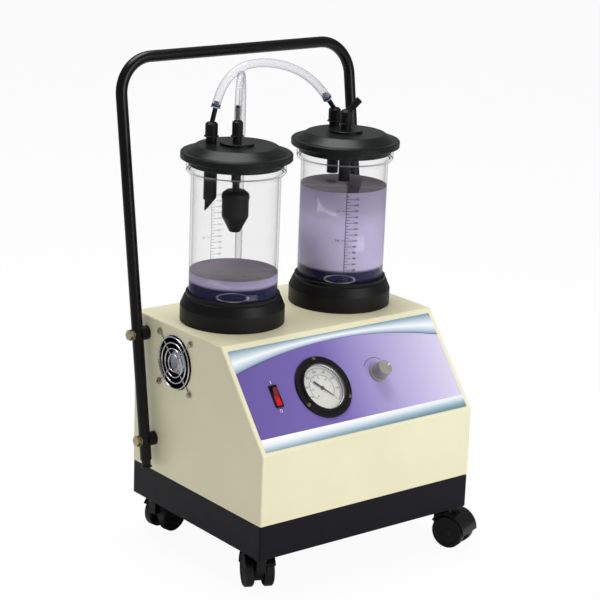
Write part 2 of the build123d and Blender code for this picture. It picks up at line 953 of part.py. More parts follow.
def add_riser(base, wall, height, bore):
    """Bore up the middle of a fitting's body."""
    with BuildSketch(base.offset(-wall - fitting_stub_below)) as hole:
        Circle(bore)
    extrude(hole.sketch, amount=wall + fitting_stub_below + height, mode=Mode.SUBTRACT)


# Hose fittings: on the left lid one to the link hose and one to the vacuum hose, and on the
# right lid one to the link hose and the open patient port
left_x, left_y = fitting_places["left"]
right_x, right_y = fitting_places["right"]
link_heading = degrees(atan2(right_y - left_y, right_x - left_x))
link_span = hypot(right_x - left_x, right_y - left_y)
lid_face = cabinet_top + dome_top
disc_face = cabinet_top + disc_top
barb_root_height = fitting_height - 3
disc_wall = lid_thickness + lid_disc
slim_top = fitting_slim_height - 0.5

left_base = Plane(origin=(left_x, left_y, lid_face))
left_barb = tilted((left_x, left_y, lid_face + barb_root_height), link_tilt_left, link_heading)
centre_base = Plane(origin=(-jar_pitch / 2, jar_y, disc_face))
with BuildPart() as fittings_left:
    add_fitting(left_base, fitting_body_radius, fitting_height, lid_thickness)
    add_barb(left_barb, barb_radius, barb_length, fitting_bore, 2)
    add_riser(left_base, lid_thickness, barb_root_height + 1.5, riser_bore)
    add_fitting(centre_base, fitting_slim_radius, fitting_slim_height, disc_wall)
    add_barb(centre_base.offset(slim_top), barb_radius, barb_straight_length, fitting_bore, 3)
    add_riser(centre_base, disc_wall, slim_top + 1.5, riser_bore)
fittings_left.part.label = "fittings_left"
export_step(fittings_left.part, "parts/fittings_left.step")

right_base = Plane(origin=(right_x, right_y, lid_face))
right_barb = tilted(
    (right_x, right_y, lid_face + barb_root_height), link_tilt_right, link_heading + 180
)
patient_base = Plane(origin=(jar_pitch / 2, jar_y, disc_face))
patient_root = fitting_height - 5
patient_port = tilted(
    (jar_pitch / 2, jar_y, disc_face + patient_root), port_tilt, port_heading
)
with BuildPart() as fittings_right:
    add_fitting(right_base, fitting_body_radius, fitting_height, lid_thickness)
    add_barb(right_barb, barb_radius, barb_length, fitting_bore, 2)
    add_riser(right_base, lid_thickness, barb_root_height + 1.5, riser_bore)
    add_fitting(patient_base, fitting_body_radius, fitting_height, disc_wall)
    add_barb(patient_port, port_neck_radius, port_length, port_bore, 0)
    turn(
        patient_port,
        [
            (port_bore, port_length - port_seat_length - 1),
            (port_neck_radius, port_length - port_seat_length - 1),
            (port_radius, port_length - port_seat_length),
            (port_radius, port_length - port_chamfer),
            (port_radius - port_chamfer, port_length),
            (port_bore, port_length),
        ],
    )
    add_riser(patient_base, disc_wall, patient_root + 1.5, port_bore + 0.5)
fittings_right.part.label = "fittings_right"
export_step(fittings_right.part, "parts/fittings_right.step")


def add_tube(x, y, top, radius, length, wall_bore):
    """Plain tube hanging from a lid, pushed over the stub of its fitting."""
    base = Plane(origin=(x, y, top - length))
    turn(
        base,
        [(wall_bore, 0), (radius, 0), (radius, length), (wall_bore, length)],
    )


# Inlet tube in the left jar: wide above, with a slanted tip below a step
hang = cabinet_top + under
stub_bore = fitting_stub_radius + running_gap
with BuildPart() as inlet_tube:
    add_tube(left_x, left_y, hang, inlet_tube_radius, inlet_tube_length, stub_bore)
    tip_top = hang - inlet_tube_length
    turn(
        Plane(origin=(left_x, left_y, tip_top - inlet_tip_length)),
        [
            (inlet_tip_radius - 1.5, 0),
            (inlet_tip_radius, 0),
            (inlet_tip_radius, inlet_tip_length + 3),
            (inlet_tip_radius - 1.5, inlet_tip_length + 3),
        ],
    )
    slant = radians(link_heading - 40)
    slant_plane = Plane(
        origin=(left_x, left_y, tip_top - inlet_tip_length / 2),
        z_dir=(cos(slant), sin(slant), -0.8),
    )
    split(bisect_by=slant_plane, keep=Keep.BOTTOM)
inlet_tube.part.label = "inlet_tube"
export_step(inlet_tube.part, "parts/inlet_tube.step")

# Short drop tubes in the right jar, one under each fitting
with BuildPart() as drop_tubes:
    add_tube(right_x, right_y, hang, drop_tube_radius, drop_tube_side_length, stub_bore)
    add_tube(jar_pitch / 2, jar_y, hang, drop_tube_radius, drop_tube_centre_length, stub_bore)
drop_tubes.part.label = "drop_tubes"
export_step(drop_tubes.part, "parts/drop_tubes.step")

# Overflow valve under the left lid's middle: hollow stem, shouldered cage and open cone foot
cage_top = hang - stem_length - stem_neck
cage_bottom = cage_top - overflow_length
foot_z = cage_bottom - overflow_cone
cage_plane = Plane(origin=(-jar_pitch / 2, jar_y, 0))
cage_bore = overflow_radius - overflow_wall
with BuildPart() as overflow_valve:
    turn(
        cage_plane,
        [
            (fitting_stub_radius + running_gap, hang),
            (fitting_stub_radius + 1.6, hang),
            (stem_radius, hang - 12),
            (stem_radius, cage_top + stem_neck),
            (stem_neck_radius, cage_top + stem_neck),
            (stem_neck_radius, cage_top),
            (overflow_radius - 6, cage_top),
            (overflow_radius - 1, cage_top - 4),
            (overflow_radius, cage_top - 8),
            (overflow_radius, cage_top - 11),
            (overflow_radius - 0.8, cage_top - 11.5),
            (overflow_radius - 0.8, cage_bottom),
            (overflow_foot_radius, foot_z),
            (overflow_foot_radius - overflow_wall, foot_z),
            (cage_bore - 1, cage_bottom + 1),
            (cage_bore - 1, cage_top - 5),
            (cage_bore - 5, cage_top - 2),
            (stem_neck_radius - 2, cage_top - 2),
            (stem_neck_radius - 2, hang - 14),
            (fitting_stub_radius + running_gap, hang - 11),
        ],
    )
overflow_valve.part.label = "overflow_valve"
export_step(overflow_valve.part, "parts/overflow_valve.step")

# Float: a plug that rests in the cone and closes the stem when the jar is full
float_top = cage_top - 2 - float_gap - float_lift
float_bottom = float_top - float_length
foot_bore = overflow_foot_radius - overflow_wall
cone_rate = (overflow_cone + 1) / (cage_bore - 1 - foot_bore)
tail_radius = float_radius - 4
tail_bottom = foot_z + (tail_radius - foot_bore) * cone_rate + float_gap
with BuildPart() as valve_float:
    turn(
        cage_plane,
        [
            (0, float_bottom),
            (float_radius - 3, float_bottom),
            (float_radius, float_bottom + 3),
            (float_radius, float_top - 5),
            (float_radius - 4, float_top - 1.5),
            (0, float_top),
        ],
    )
    turn(
        cage_plane,
        [
            (0, tail_bottom),
            (tail_radius, tail_bottom),
            (tail_radius + 1, float_bottom),
            (0, float_bottom),
        ],
    )
valve_float.part.label = "valve_float"
export_step(valve_float.part, "parts/valve_float.step")

# Vacuum port: bulkhead barb in the cabinet top, with its nut and nipple below
tee_drop = port_thread - tube_barb_radius - 1
with BuildPart() as vacuum_port:
    turn(
        port_plane,
        [
            (0, -port_thread - tube_barb_length),
            (tube_barb_radius, -port_thread - tube_barb_length),
            (tube_barb_radius, -port_thread),
            (port_thread_radius, -port_thread),
            (port_thread_radius, 0),
            (port_flange_radius, 0),
            (port_flange_radius, port_flange - 0.8),
            (port_flange_radius - 0.8, port_flange),
            (barb_radius + 1, port_flange),
            (barb_radius, port_flange + 2),
            (barb_radius, port_height - 7),
            (barb_radius + barb_ridge, port_height - 7),
            (barb_radius, port_height - 4),
            (barb_radius, port_height - 3.5),
            (barb_radius + barb_ridge, port_height - 3.5),
            (barb_radius - 0.6, port_height),
            (0, port_height),
        ],
    )
    with BuildSketch(port_plane.offset(port_height)):
        Circle(fitting_bore)
    extrude(amount=-port_height - port_thread + 1, mode=Mode.SUBTRACT)
    tee_root = port_plane.from_local_coords(Vector(0, -port_thread_radius + 1, -tee_drop))
    with BuildSketch(Plane(origin=tee_root, z_dir=(0, -1, 0))):
        Circle(tube_barb_radius)
    extrude(amount=tube_barb_length + 1)
    with BuildSketch(port_plane.offset(-sheet)):
        RegularPolygon(nut_across / 2, 6, major_radius=False)
        Circle(port_thread_radius + running_gap, mode=Mode.SUBTRACT)
    extrude(amount=-nut_height)
vacuum_port.part.label = "vacuum_port"
export_step(vacuum_port.part, "parts/vacuum_port.step")

# Link hose between the jars: along is measured from the left fitting towards the right one,
# and height from the cabinet top
link_plane = Plane(
    origin=(left_x, left_y, cabinet_top),
    x_dir=(cos(radians(link_heading)), sin(radians(link_heading)), 0),
    z_dir=(sin(radians(link_heading)), -cos(radians(link_heading)), 0),
)


def along_barb(barb, distance):
    """Point at a distance along the normal of a barb's plane."""
    return barb.origin + barb.z_dir * distance


link_start = along_barb(left_barb, barb_length - hose_overlap)
link_end = along_barb(right_barb, barb_length - hose_overlap)
link_middle = [
    (27.4, 331.5),
    (54.4, 344.5),
    (88.4, 345.5),
    (123.4, 338.5),
    (155.4, 326),
]
link_route = [
    link_start,
    link_start + left_barb.z_dir * 19,
    *[link_plane.from_local_coords(Vector(along, height, 0)) for along, height in link_middle],
    link_end + right_barb.z_dir * 26,
    link_end,
]

# Vacuum hose: up from the left lid's middle, over in a loop and down behind the jar
start_x, start_y = -jar_pitch / 2, jar_y
vacuum_span = hypot(port_x - start_x, port_y - start_y)
vacuum_plane = Plane(
    origin=(start_x, start_y, cabinet_top),
    x_dir=(port_x - start_x, port_y - start_y, 0),
    z_dir=(port_y - start_y, start_x - port_x, 0),
)
vacuum_middle = [
    (0, 299),
    (15.8, 323.3),
    (43, 333.2),
    (70.8, 324.7),
    (87.8, 301.3),
    (95, 262),
    (97.5, 205),
    (98, 148),
    (97, 95),
    (95.4, 50),
]
vacuum_route = [
    vacuum_plane.from_local_coords(Vector(0, disc_top + slim_top + 1, 0)),
    *[vacuum_plane.from_local_coords(Vector(along, height, 0)) for along, height in vacuum_middle],
    vacuum_plane.from_local_coords(Vector(vacuum_span, port_flange + 6, 0)),
]


def make_hose(route, radius, socket_radius, start_socket, end_socket):
    """Hose along a route, with a blind socket over the barb at each end."""
    radii = corner_radii(route)
    first, last = (route[1] - route[0]).normalized(), (route[-2] - route[-1]).normalized()
    with BuildPart() as hose:
        with BuildLine() as path:
            FilletPolyline(*route, radius=radii)
        with BuildSketch(Plane(origin=route[0], z_dir=first)) as outline:
            Circle(radius)
        sweep(outline.sketch, path=path.line)
        for point, way, depth in ((route[0], first, start_socket), (route[-1], last, end_socket)):
            with BuildSketch(Plane(origin=point, z_dir=way)) as socket:
                Circle(socket_radius + hose_bore_gap)
            extrude(socket.sketch, amount=depth + 0.5, mode=Mode.SUBTRACT)
    run = sum(edge.length for edge in path.line.edges())
    print("hose radii", [round(r) for r in radii])
    print("length", round(run), "section x length", round(pi * radius**2 * run))
    print("volume", round(hose.part.volume))
    return hose


ridge_radius = barb_radius + barb_ridge
link_hose = make_hose(link_route, link_hose_radius, ridge_radius, hose_overlap, hose_overlap)
link_hose.part.label = "link_hose"
export_step(link_hose.part, "parts/link_hose.step")

vacuum_hose = make_hose(
    vacuum_route,
    vacuum_hose_radius,
    ridge_radius,
    barb_straight_length - 1,
    port_height - port_flange - 6,
)
vacuum_hose.part.label = "vacuum_hose"
export_step(vacuum_hose.part, "parts/vacuum_hose.step")

# Push handle: a bent tube outside the cabinet's sides, with plugs in its lower ends
handle_route = [
    (-handle_x, 0),
    (-handle_x, handle_length),
    (handle_x, handle_length),
    (handle_x, 0),
]
with BuildPart() as handle_tube:
    with BuildLine(handle_plane) as handle_path:
        FilletPolyline(*handle_route, radius=handle_corner_radius)
    foot_point = handle_plane.from_local_coords(Vector(-handle_x, 0, 0))
    foot_plane = Plane(origin=foot_point, x_dir=(1, 0, 0), z_dir=handle_plane.y_dir)
    with BuildSketch(foot_plane) as outside_circle:
        Circle(handle_radius)
    sweep(outside_circle.sketch, path=handle_path.line)
    with BuildSketch(foot_plane) as inside_circle:
        Circle(handle_radius - handle_wall)
    sweep(inside_circle.sketch, path=handle_path.line, mode=Mode.SUBTRACT)
    for x in (-handle_x, handle_x):
        with BuildSketch(Plane.YZ.offset(x)):
            with Locations(*bolt_places):
                Circle(bolt_radius + hole_clearance)
        extrude(amount=handle_radius + 1, both=True, mode=Mode.SUBTRACT)
handle_tube.part.label = "handle_tube"
export_step(handle_tube.part, "parts/handle_tube.step")

with BuildPart() as handle_caps:
    for x in (-handle_x, handle_x):
        foot = handle_plane.from_local_coords(Vector(x, 0, 0))
        turn(
            Plane(origin=foot, x_dir=(1, 0, 0), z_dir=handle_plane.y_dir),
            [
                (0, -cap_flange),
                (handle_radius - 0.8, -cap_flange),
                (handle_radius, -cap_flange + 0.8),
                (handle_radius, 0),
                (handle_radius - handle_wall - 0.05, 0),
                (handle_radius - handle_wall - 0.05, cap_plug),
                (0, cap_plug),
            ],
        )
handle_caps.part.label = "handle_caps"
export_step(handle_caps.part, "parts/handle_caps.step")

# Spacers between the tube and the cabinet, hollowed to the tube, and the bolts through both
with BuildPart() as handle_spacers:
    for side in (-1, 1):
        for y, z in bolt_places:
            turn(
                Plane(origin=(side * half_width, y, z), x_dir=(0, 1, 0), z_dir=(side, 0, 0)),
                [
                    (bolt_radius + hole_clearance, 0),
                    (spacer_radius, 0),
                    (spacer_radius, handle_offset - 3),
                    (bolt_radius + hole_clearance, handle_offset - 3),
                ],
            )
    for side in (-1, 1):
        foot = handle_plane.from_local_coords(Vector(side * handle_x, 0, 0))
        with BuildSketch(Plane(origin=foot, x_dir=(1, 0, 0), z_dir=handle_plane.y_dir)):
            Circle(handle_radius + running_gap)
        extrude(amount=handle_length / 2, mode=Mode.SUBTRACT)
handle_spacers.part.label = "handle_spacers"
export_step(handle_spacers.part, "parts/handle_spacers.step")

tube_outside = half_width + handle_offset + handle_radius
with BuildPart() as handle_bolts:
    for side in (-1, 1):
        for y, z in bolt_places:
            axis = Plane(origin=(side * tube_outside, y, z), x_dir=(0, 1, 0), z_dir=(side, 0, 0))
            reach = handle_offset + handle_radius + sheet + nut_height + 1
            turn(
                axis,
                [
                    (0, -reach),
                    (bolt_radius, -reach),
                    (bolt_radius, washer + hole_clearance),
                    (0, washer + hole_clearance),
                ],
            )
            with BuildSketch(axis.offset(washer + hole_clearance)):
                RegularPolygon(bolt_across / 2, 6, major_radius=False)
            extrude(amount=bolt_head)
            with BuildSketch(axis.offset(running_gap)):
                Circle(washer_radius)
                Circle(bolt_radius + hole_clearance, mode=Mode.SUBTRACT)
            extrude(amount=washer)
    for side in (-1, 1):
        for y, z in bolt_places:
            inside = Plane(
                origin=(side * (half_width - sheet), y, z), x_dir=(0, 1, 0), z_dir=(-side, 0, 0)
            )
            with BuildSketch(inside):
                RegularPolygon(bolt_across / 2, 6, major_radius=False)
                Circle(bolt_radius + running_gap, mode=Mode.SUBTRACT)
            extrude(amount=nut_height)
handle_bolts.part.label = "handle_bolts"
export_step(handle_bolts.part, "parts/handle_bolts.step")

# Fan frame: square, with a round duct, corner holes and a hub on four struts at its inner end
with BuildPart() as fan_frame:
    with BuildSketch(fan_plane):
        RectangleRounded(fan_size, fan_size, 4)
        Circle(fan_bore_radius, mode=Mode.SUBTRACT)
        with GridLocations(fan_screw_pitch, fan_screw_pitch, 2, 2):
            Circle(screw_radius + hole_clearance, mode=Mode.SUBTRACT)
    extrude(amount=-fan_thickness)
    with BuildSketch(fan_plane.offset(-fan_thickness)):
        Circle(fan_hub_radius + 1)
        with PolarLocations(fan_bore_radius / 2 + 4, 4, start_angle=20):
            Rectangle(fan_bore_radius, fan_strut)
    extrude(amount=fan_strut)
    with BuildSketch(fan_plane.offset(-fan_thickness)):
        Circle(shaft_radius / 3)
    extrude(amount=fan_thickness / 2)
fan_frame.part.label = "fan_frame"
export_step(fan_frame.part, "parts/fan_frame.step")

# Fan rotor: a cup hub with pitched blades
rotor_back = fan_strut + 1 - fan_thickness
rotor_depth = fan_thickness - fan_strut - 4
with BuildPart() as fan_rotor:
    turn(
        fan_plane,
        [
            (shaft_radius / 3 + running_gap, rotor_back),
            (fan_hub_radius, rotor_back),
            (fan_hub_radius, rotor_back + rotor_depth - 1),
            (fan_hub_radius - 1, rotor_back + rotor_depth),
            (0, rotor_back + rotor_depth),
            (0, rotor_back + rotor_depth - 2),
            (shaft_radius / 3 + running_gap, rotor_back + rotor_depth - 2),
        ],
    )
    pitch = radians(fan_blade_pitch)
    hub = fan_plane.offset(rotor_back + rotor_depth / 2)
    for blade in range(fan_blades):
        around = radians(360 * blade / fan_blades)
        outward = hub.x_dir * cos(around) + hub.y_dir * sin(around)
        sideways = hub.y_dir * cos(around) - hub.x_dir * sin(around)
        chord = sideways * cos(pitch) + hub.z_dir * sin(pitch)
        with BuildSketch(Plane(origin=hub.origin, x_dir=outward, z_dir=outward.cross(chord))):
            with BuildLine():
                Polyline(
                    (fan_hub_radius - 1.5, -fan_blade_chord * 0.38),
                    (fan_blade_radius - 2.5, -fan_blade_chord * 0.5),
                    (fan_blade_radius - 1.2, fan_blade_chord * 0.42),
                    (fan_hub_radius - 1.5, fan_blade_chord * 0.38),
                    close=True,
                )
            make_face()
        extrude(amount=fan_blade_thickness / 2, both=True)
fan_rotor.part.label = "fan_rotor"
export_step(fan_rotor.part, "parts/fan_rotor.step")

# Fan grille: four wire rings on four diagonal arms that end in screw eyes
arm_height = sheet + grille_wire + 0.1
ring_level = arm_height + 1.7 * grille_wire
eye_distance = fan_screw_pitch / 2 * 2**0.5
hexagon = [(cos(radians(60 * k)) * grille_wire, sin(radians(60 * k)) * grille_wire) for k in range(6)]
with BuildPart() as fan_grille:
    for radius in grille_radii:
        turn(fan_plane, [(radius + dx, ring_level + dz) for dx, dz in hexagon])
    for angle in (45, 135, 225, 315):
        way = fan_plane.x_dir * cos(radians(angle)) + fan_plane.y_dir * sin(radians(angle))
        arm_start = fan_plane.offset(arm_height).origin + way * (grille_radii[0] - 1)
        with BuildSketch(Plane(origin=arm_start, z_dir=way)):
            RegularPolygon(grille_wire, 6)
        extrude(amount=eye_distance - grille_radii[0] + 1 - grille_eye_radius + 1)
    with BuildSketch(fan_plane.offset(sheet)):
        with GridLocations(fan_screw_pitch, fan_screw_pitch, 2, 2):
            Circle(grille_eye_radius)
            Circle(screw_radius + hole_clearance, mode=Mode.SUBTRACT)
    extrude(amount=2 * grille_wire)
fan_grille.part.label = "fan_grille"
export_step(fan_grille.part, "parts/fan_grille.step")


def add_screw(base, length):
    """Pan head screw whose head stands on base and whose shank runs below it."""
    turn(
        base,
        [
            (0, -length),
            (screw_radius, -length),
            (screw_radius, 0),
            (screw_head_radius, 0),
            (screw_head_radius, screw_head_height - 1.4),
            (screw_head_radius - 1.2, screw_head_height),
            (0, screw_head_height),
        ],
    )


# Pan head screws of the fan, the rear panel and the jar rings
with BuildPart() as fan_screws:
    for dx in (-1, 1):
        for dy in (-1, 1):
            spot = Vector(dx * fan_screw_pitch / 2, dy * fan_screw_pitch / 2, sheet + 2 * grille_wire)
            add_screw(
                Plane(
                    origin=fan_plane.from_local_coords(spot),
                    x_dir=fan_plane.x_dir,
                    z_dir=fan_plane.z_dir,
                ),
                fan_thickness + 3,
            )
fan_screws.part.label = "fan_screws"
export_step(fan_screws.part, "parts/fan_screws.step")

with BuildPart() as case_screws:
    for x, z in rear_screw_places:
        add_screw(Plane(origin=(x, half_depth, z), x_dir=(1, 0, 0), z_dir=(0, 1, 0)), screw_length)
    for x in ring_places.values():
        for angle in (0, 120, 240):
            spot = (
                x + ring_boss_circle * cos(radians(angle)),
                jar_y + ring_boss_circle * sin(radians(angle)),
                cabinet_top - sheet,
            )
            add_screw(Plane(origin=spot, x_dir=(1, 0, 0), z_dir=(0, 0, -1)), screw_length)
case_screws.part.label = "case_screws"
export_step(case_screws.part, "parts/case_screws.step")

# Appliance inlet: flanged shroud in the rear panel with three flat pins
inlet_plane = Plane(origin=(inlet_x, half_depth, inlet_z), x_dir=(-1, 0, 0), z_dir=(0, 1, 0))
with BuildPart() as mains_inlet:
    with BuildSketch(inlet_plane):
        SlotOverall(inlet_flange_width, inlet_flange_height)
    extrude(amount=inlet_flange)
    with BuildSketch(inlet_plane):
        RectangleRounded(inlet_width, inlet_height, 2)
    extrude(amount=-inlet_depth)
    with BuildSketch(inlet_plane.offset(inlet_flange)):
        with BuildLine():
            Polyline(
                (-inlet_width / 2 + 2, inlet_height / 2 - 6),
                (-inlet_width / 2 + 6, inlet_height / 2 - 2),
                (inlet_width / 2 - 6, inlet_height / 2 - 2),
                (inlet_width / 2 - 2, inlet_height / 2 - 6),
                (inlet_width / 2 - 2, 2 - inlet_height / 2),
                (2 - inlet_width / 2, 2 - inlet_height / 2),
                close=True,
            )
        make_face()
    extrude(amount=-inlet_depth, mode=Mode.SUBTRACT)
    with BuildSketch(inlet_plane.offset(2 - inlet_depth)):
        with Locations((-inlet_pin_spacing, -2), (0, 2), (inlet_pin_spacing, -2)):
            Rectangle(2, 5)
    extrude(amount=inlet_depth - 3)
    with BuildSketch(inlet_plane.offset(inlet_flange)):
        with GridLocations(inlet_screw_pitch, 0, 2, 1):
            Circle(gauge_screw_radius + hole_clearance)
    extrude(amount=-inlet_flange, mode=Mode.SUBTRACT)
mains_inlet.part.label = "mains_inlet"
export_step(mains_inlet.part, "parts/mains_inlet.step")

# Motor: ribbed housing on a foot plate, bored for the shaft and for a bearing at each end
tray_floor = tray_clearance + tray_sheet
foot_top = tray_floor + mount_height + foot_thickness
motor_length = motor_right - motor_left
motor_middle = (motor_left + motor_right) / 2
motor_plane = Plane(origin=(motor_left, pump_y, pump_z), x_dir=(0, 1, 0), z_dir=(1, 0, 0))
with BuildPart() as motor_housing:
    with BuildSketch(motor_plane.offset(motor_length * 0.15)):
        Circle(motor_radius)
        with PolarLocations(motor_radius, motor_fins):
            Rectangle(2 * motor_fin, 2)
    extrude(amount=motor_length * 0.7)
    with BuildSketch(motor_plane):
        Circle(motor_radius - 2)
    extrude(amount=motor_length)
    with BuildSketch(Plane.XY.offset(foot_top - foot_thickness)):
        with Locations((motor_middle, pump_y)):
            Rectangle(foot_width, foot_depth)
            with GridLocations(foot_width - 20, foot_depth - 20, 2, 2):
                Circle(screw_radius + hole_clearance, mode=Mode.SUBTRACT)
    extrude(amount=foot_thickness)
    with BuildSketch(Plane.XY.offset(foot_top)):
        with Locations((motor_middle, pump_y)):
            Rectangle(motor_length * 0.5, motor_radius * 0.9)
    extrude(amount=pump_z - foot_top - motor_radius * 0.6)
    with BuildSketch(motor_plane):
        Circle(bearing_radius)
    extrude(amount=bearing_width, mode=Mode.SUBTRACT)
    with BuildSketch(motor_plane.offset(motor_length - bearing_width)):
        Circle(bearing_radius)
    extrude(amount=bearing_width, mode=Mode.SUBTRACT)
    with BuildSketch(motor_plane):
        Circle(shaft_radius + 1)
    extrude(amount=motor_length, mode=Mode.SUBTRACT)
motor_housing.part.label = "motor_housing"
export_step(motor_housing.part, "parts/motor_housing.step")

with BuildPart() as shaft_bearings:
    for start in (0, motor_length - bearing_width):
        with BuildSketch(motor_plane.offset(start)):
            Circle(bearing_radius)
            Circle(shaft_radius + running_gap, mode=Mode.SUBTRACT)
        extrude(amount=bearing_width)
shaft_bearings.part.label = "shaft_bearings"
export_step(shaft_bearings.part, "parts/shaft_bearings.step")

with BuildPart() as rubber_mounts:
    with BuildSketch(Plane.XY.offset(tray_floor)):
        with Locations((motor_middle, pump_y)):
            with GridLocations(foot_width - 20, foot_depth - 20, 2, 2):
                Circle(mount_radius)
    extrude(amount=mount_height)
rubber_mounts.part.label = "rubber_mounts"
export_step(rubber_mounts.part, "parts/rubber_mounts.step")

# Pump shaft with its impeller at the left and its eccentric at the bottom of the stroke
crank_middle = crankcase_left + crankcase_length / 2
with BuildPart() as pump_shaft:
    with BuildSketch(motor_plane.offset(shaft_left - motor_left)):
        Circle(shaft_radius)
    extrude(amount=crank_middle + eccentric_width / 2 - shaft_left)
    with BuildSketch(motor_plane.offset(crank_middle - eccentric_width / 2 - motor_left)):
        with Locations((0, -eccentric_throw)):
            Circle(eccentric_radius)
    extrude(amount=eccentric_width)
    with BuildSketch(motor_plane.offset(shaft_left - motor_left)):
        Circle(impeller_radius)
    extrude(amount=2)
    with BuildSketch(motor_plane.offset(shaft_left - motor_left)):
        with PolarLocations(impeller_radius / 2 + 5, impeller_blades):
            Rectangle(impeller_radius - 10, 1.6)
        Circle(shaft_radius + 3)
    extrude(amount=14)
pump_shaft.part.label = "pump_shaft"
export_step(pump_shaft.part, "parts/pump_shaft.step")

# Crankcase: a thick ring round the crank with a flat top for the cylinder
crank_plane = Plane(origin=(crankcase_left, pump_y, pump_z), x_dir=(0, 1, 0), z_dir=(1, 0, 0))
crank_space = eccentric_radius + rod_ring + eccentric_throw + 1.5
cylinder_bore = piston_radius + eccentric_throw + cylinder_gap
with BuildPart() as crankcase:
    with BuildSketch(crank_plane):
        Circle(crankcase_width / 2)
        with Locations((0, crankcase_height / 2)):
            Rectangle(crankcase_width, crankcase_height)
        with Locations((0, -crankcase_width / 4 - 6)):
            Rectangle(crankcase_width * 0.6, crankcase_width / 2 + 12)
    extrude(amount=crankcase_length)
    with BuildSketch(crank_plane.offset(crankcase_wall)):
        Circle(crank_space)
        with Locations((0, crankcase_height / 2)):
            Rectangle(2 * crank_space, crankcase_height)
    extrude(amount=crankcase_length, mode=Mode.SUBTRACT)
    with BuildSketch(Plane.XY.offset(pump_z + crankcase_height)):
        with Locations((crank_middle, pump_y)):
            Rectangle(crankcase_length, crankcase_width)
            Circle(rod_width / 2 + eccentric_throw + 8, mode=Mode.SUBTRACT)
    extrude(amount=-crankcase_wall)
    with BuildSketch(crank_plane):
        Circle(shaft_radius + 1)
    extrude(amount=crankcase_wall, mode=Mode.SUBTRACT)
crankcase.part.label = "crankcase"
export_step(crankcase.part, "parts/crankcase.step")

# Connecting rod with its piston: a ring round the eccentric, a flat rod and a cupped disc
rod_plane = crank_plane.offset(crankcase_length / 2 - rod_width / 2)
cylinder_base = pump_z + crankcase_height
piston_z = pump_z - eccentric_throw + rod_length
with BuildPart() as piston_rod:
    with BuildSketch(rod_plane):
        with Locations((0, -eccentric_throw)):
            Circle(eccentric_radius + rod_ring)
        with Locations((0, (rod_length + eccentric_radius) / 2 - eccentric_throw)):
            Rectangle(rod_width, rod_length - eccentric_radius)
    extrude(amount=rod_width)
    with BuildSketch(rod_plane):
        with Locations((0, -eccentric_throw)):
            Circle(eccentric_radius + running_gap)
    extrude(amount=rod_width, mode=Mode.SUBTRACT)
    turn(
        Plane(origin=(crank_middle, pump_y, piston_z)),
        [
            (0, 0),
            (piston_radius - 3, 0),
            (piston_radius - 1, 2),
            (piston_radius - 1, piston_height - 2),
            (piston_radius, piston_height),
            (piston_radius - 2, piston_height),
            (piston_radius - 3, piston_height - 2),
            (0, piston_height - 2),
        ],
    )
piston_rod.part.label = "piston_rod"
export_step(piston_rod.part, "parts/piston_rod.step")

# Finned cylinder and its head with two barbs
head_base = cylinder_base + cylinder_height
with BuildPart() as cylinder:
    with BuildSketch(Plane.XY.offset(cylinder_base)):
        with Locations((crank_middle, pump_y)):
            Circle(cylinder_bore + cylinder_wall)
    extrude(amount=cylinder_height)
    for fin in range(cylinder_fins):
        level = cylinder_base + 4 + fin * (cylinder_height - 8) / (cylinder_fins - 1)
        with BuildSketch(Plane.XY.offset(level - cylinder_fin / 2)):
            with Locations((crank_middle, pump_y)):
                RectangleRounded(
                    2 * (cylinder_bore + cylinder_fin_reach), 2 * (cylinder_bore + cylinder_fin_reach), 8
                )
        extrude(amount=cylinder_fin)
    with BuildSketch(Plane.XY.offset(cylinder_base)):
        with Locations((crank_middle, pump_y)):
            Circle(cylinder_bore)
    extrude(amount=cylinder_height, mode=Mode.SUBTRACT)
cylinder.part.label = "cylinder"
export_step(cylinder.part, "parts/cylinder.step")

head_middle = head_base + head_height / 2
with BuildPart() as cylinder_head:
    with BuildSketch(Plane.XY.offset(head_base)):
        with Locations((crank_middle, pump_y)):
            RectangleRounded(head_size, head_size, 8)
    extrude(amount=head_height)
    with BuildSketch(Plane.XZ.offset(-pump_y)):
        with Locations((crank_middle, head_middle)):
            Circle(tube_barb_radius)
    extrude(amount=-head_size / 2 - tube_barb_length)
    with BuildSketch(Plane.YZ.offset(crank_middle)):
        with Locations((pump_y, head_middle)):
            Circle(silencer_radius)
    extrude(amount=head_size / 2 + silencer_length)
cylinder_head.part.label = "cylinder_head"
export_step(cylinder_head.part, "parts/cylinder_head.step")

# Inner tubes: cylinder head to vacuum port, gauge to regulator, and regulator to vacuum port
tube_reach = tube_barb_length - tube_overlap
head_route = [
    Vector(crank_middle, pump_y + head_size / 2 + tube_reach, head_middle),
    Vector(crank_middle, 88, head_middle),
    Vector(54, 107, head_middle),
    Vector(34, 117, head_middle + 1),
    Vector(8, port_y, head_middle + 2),
    Vector(port_x + 19.8, port_y, head_middle + 2),
    Vector(port_x + 7.2, port_y, head_middle + 9.2),
    Vector(port_x, port_y, head_middle + 21.8),
    Vector(port_x, port_y, cabinet_top - port_thread - tube_reach),
]
gauge_tube_start = film - gauge_depth - tube_reach
gauge_route = [
    slope.from_local_coords(Vector(x, -down, height))
    for x, down, height in (
        (gauge_x, gauge_down, gauge_tube_start),
        (gauge_x, gauge_down, gauge_tube_start - 22),
        (-38, 81.5, -80),
        (-16, 80.5, -88),
        (14, 79.5, -88),
        (37, 78.5, -80),
        (knob_x, knob_down, -59),
        (knob_x, knob_down, -sheet - valve_body_length - tube_reach),
    )
]
regulator_start = barb_root - Vector(valve_body_radius + tube_reach, 0, 0)
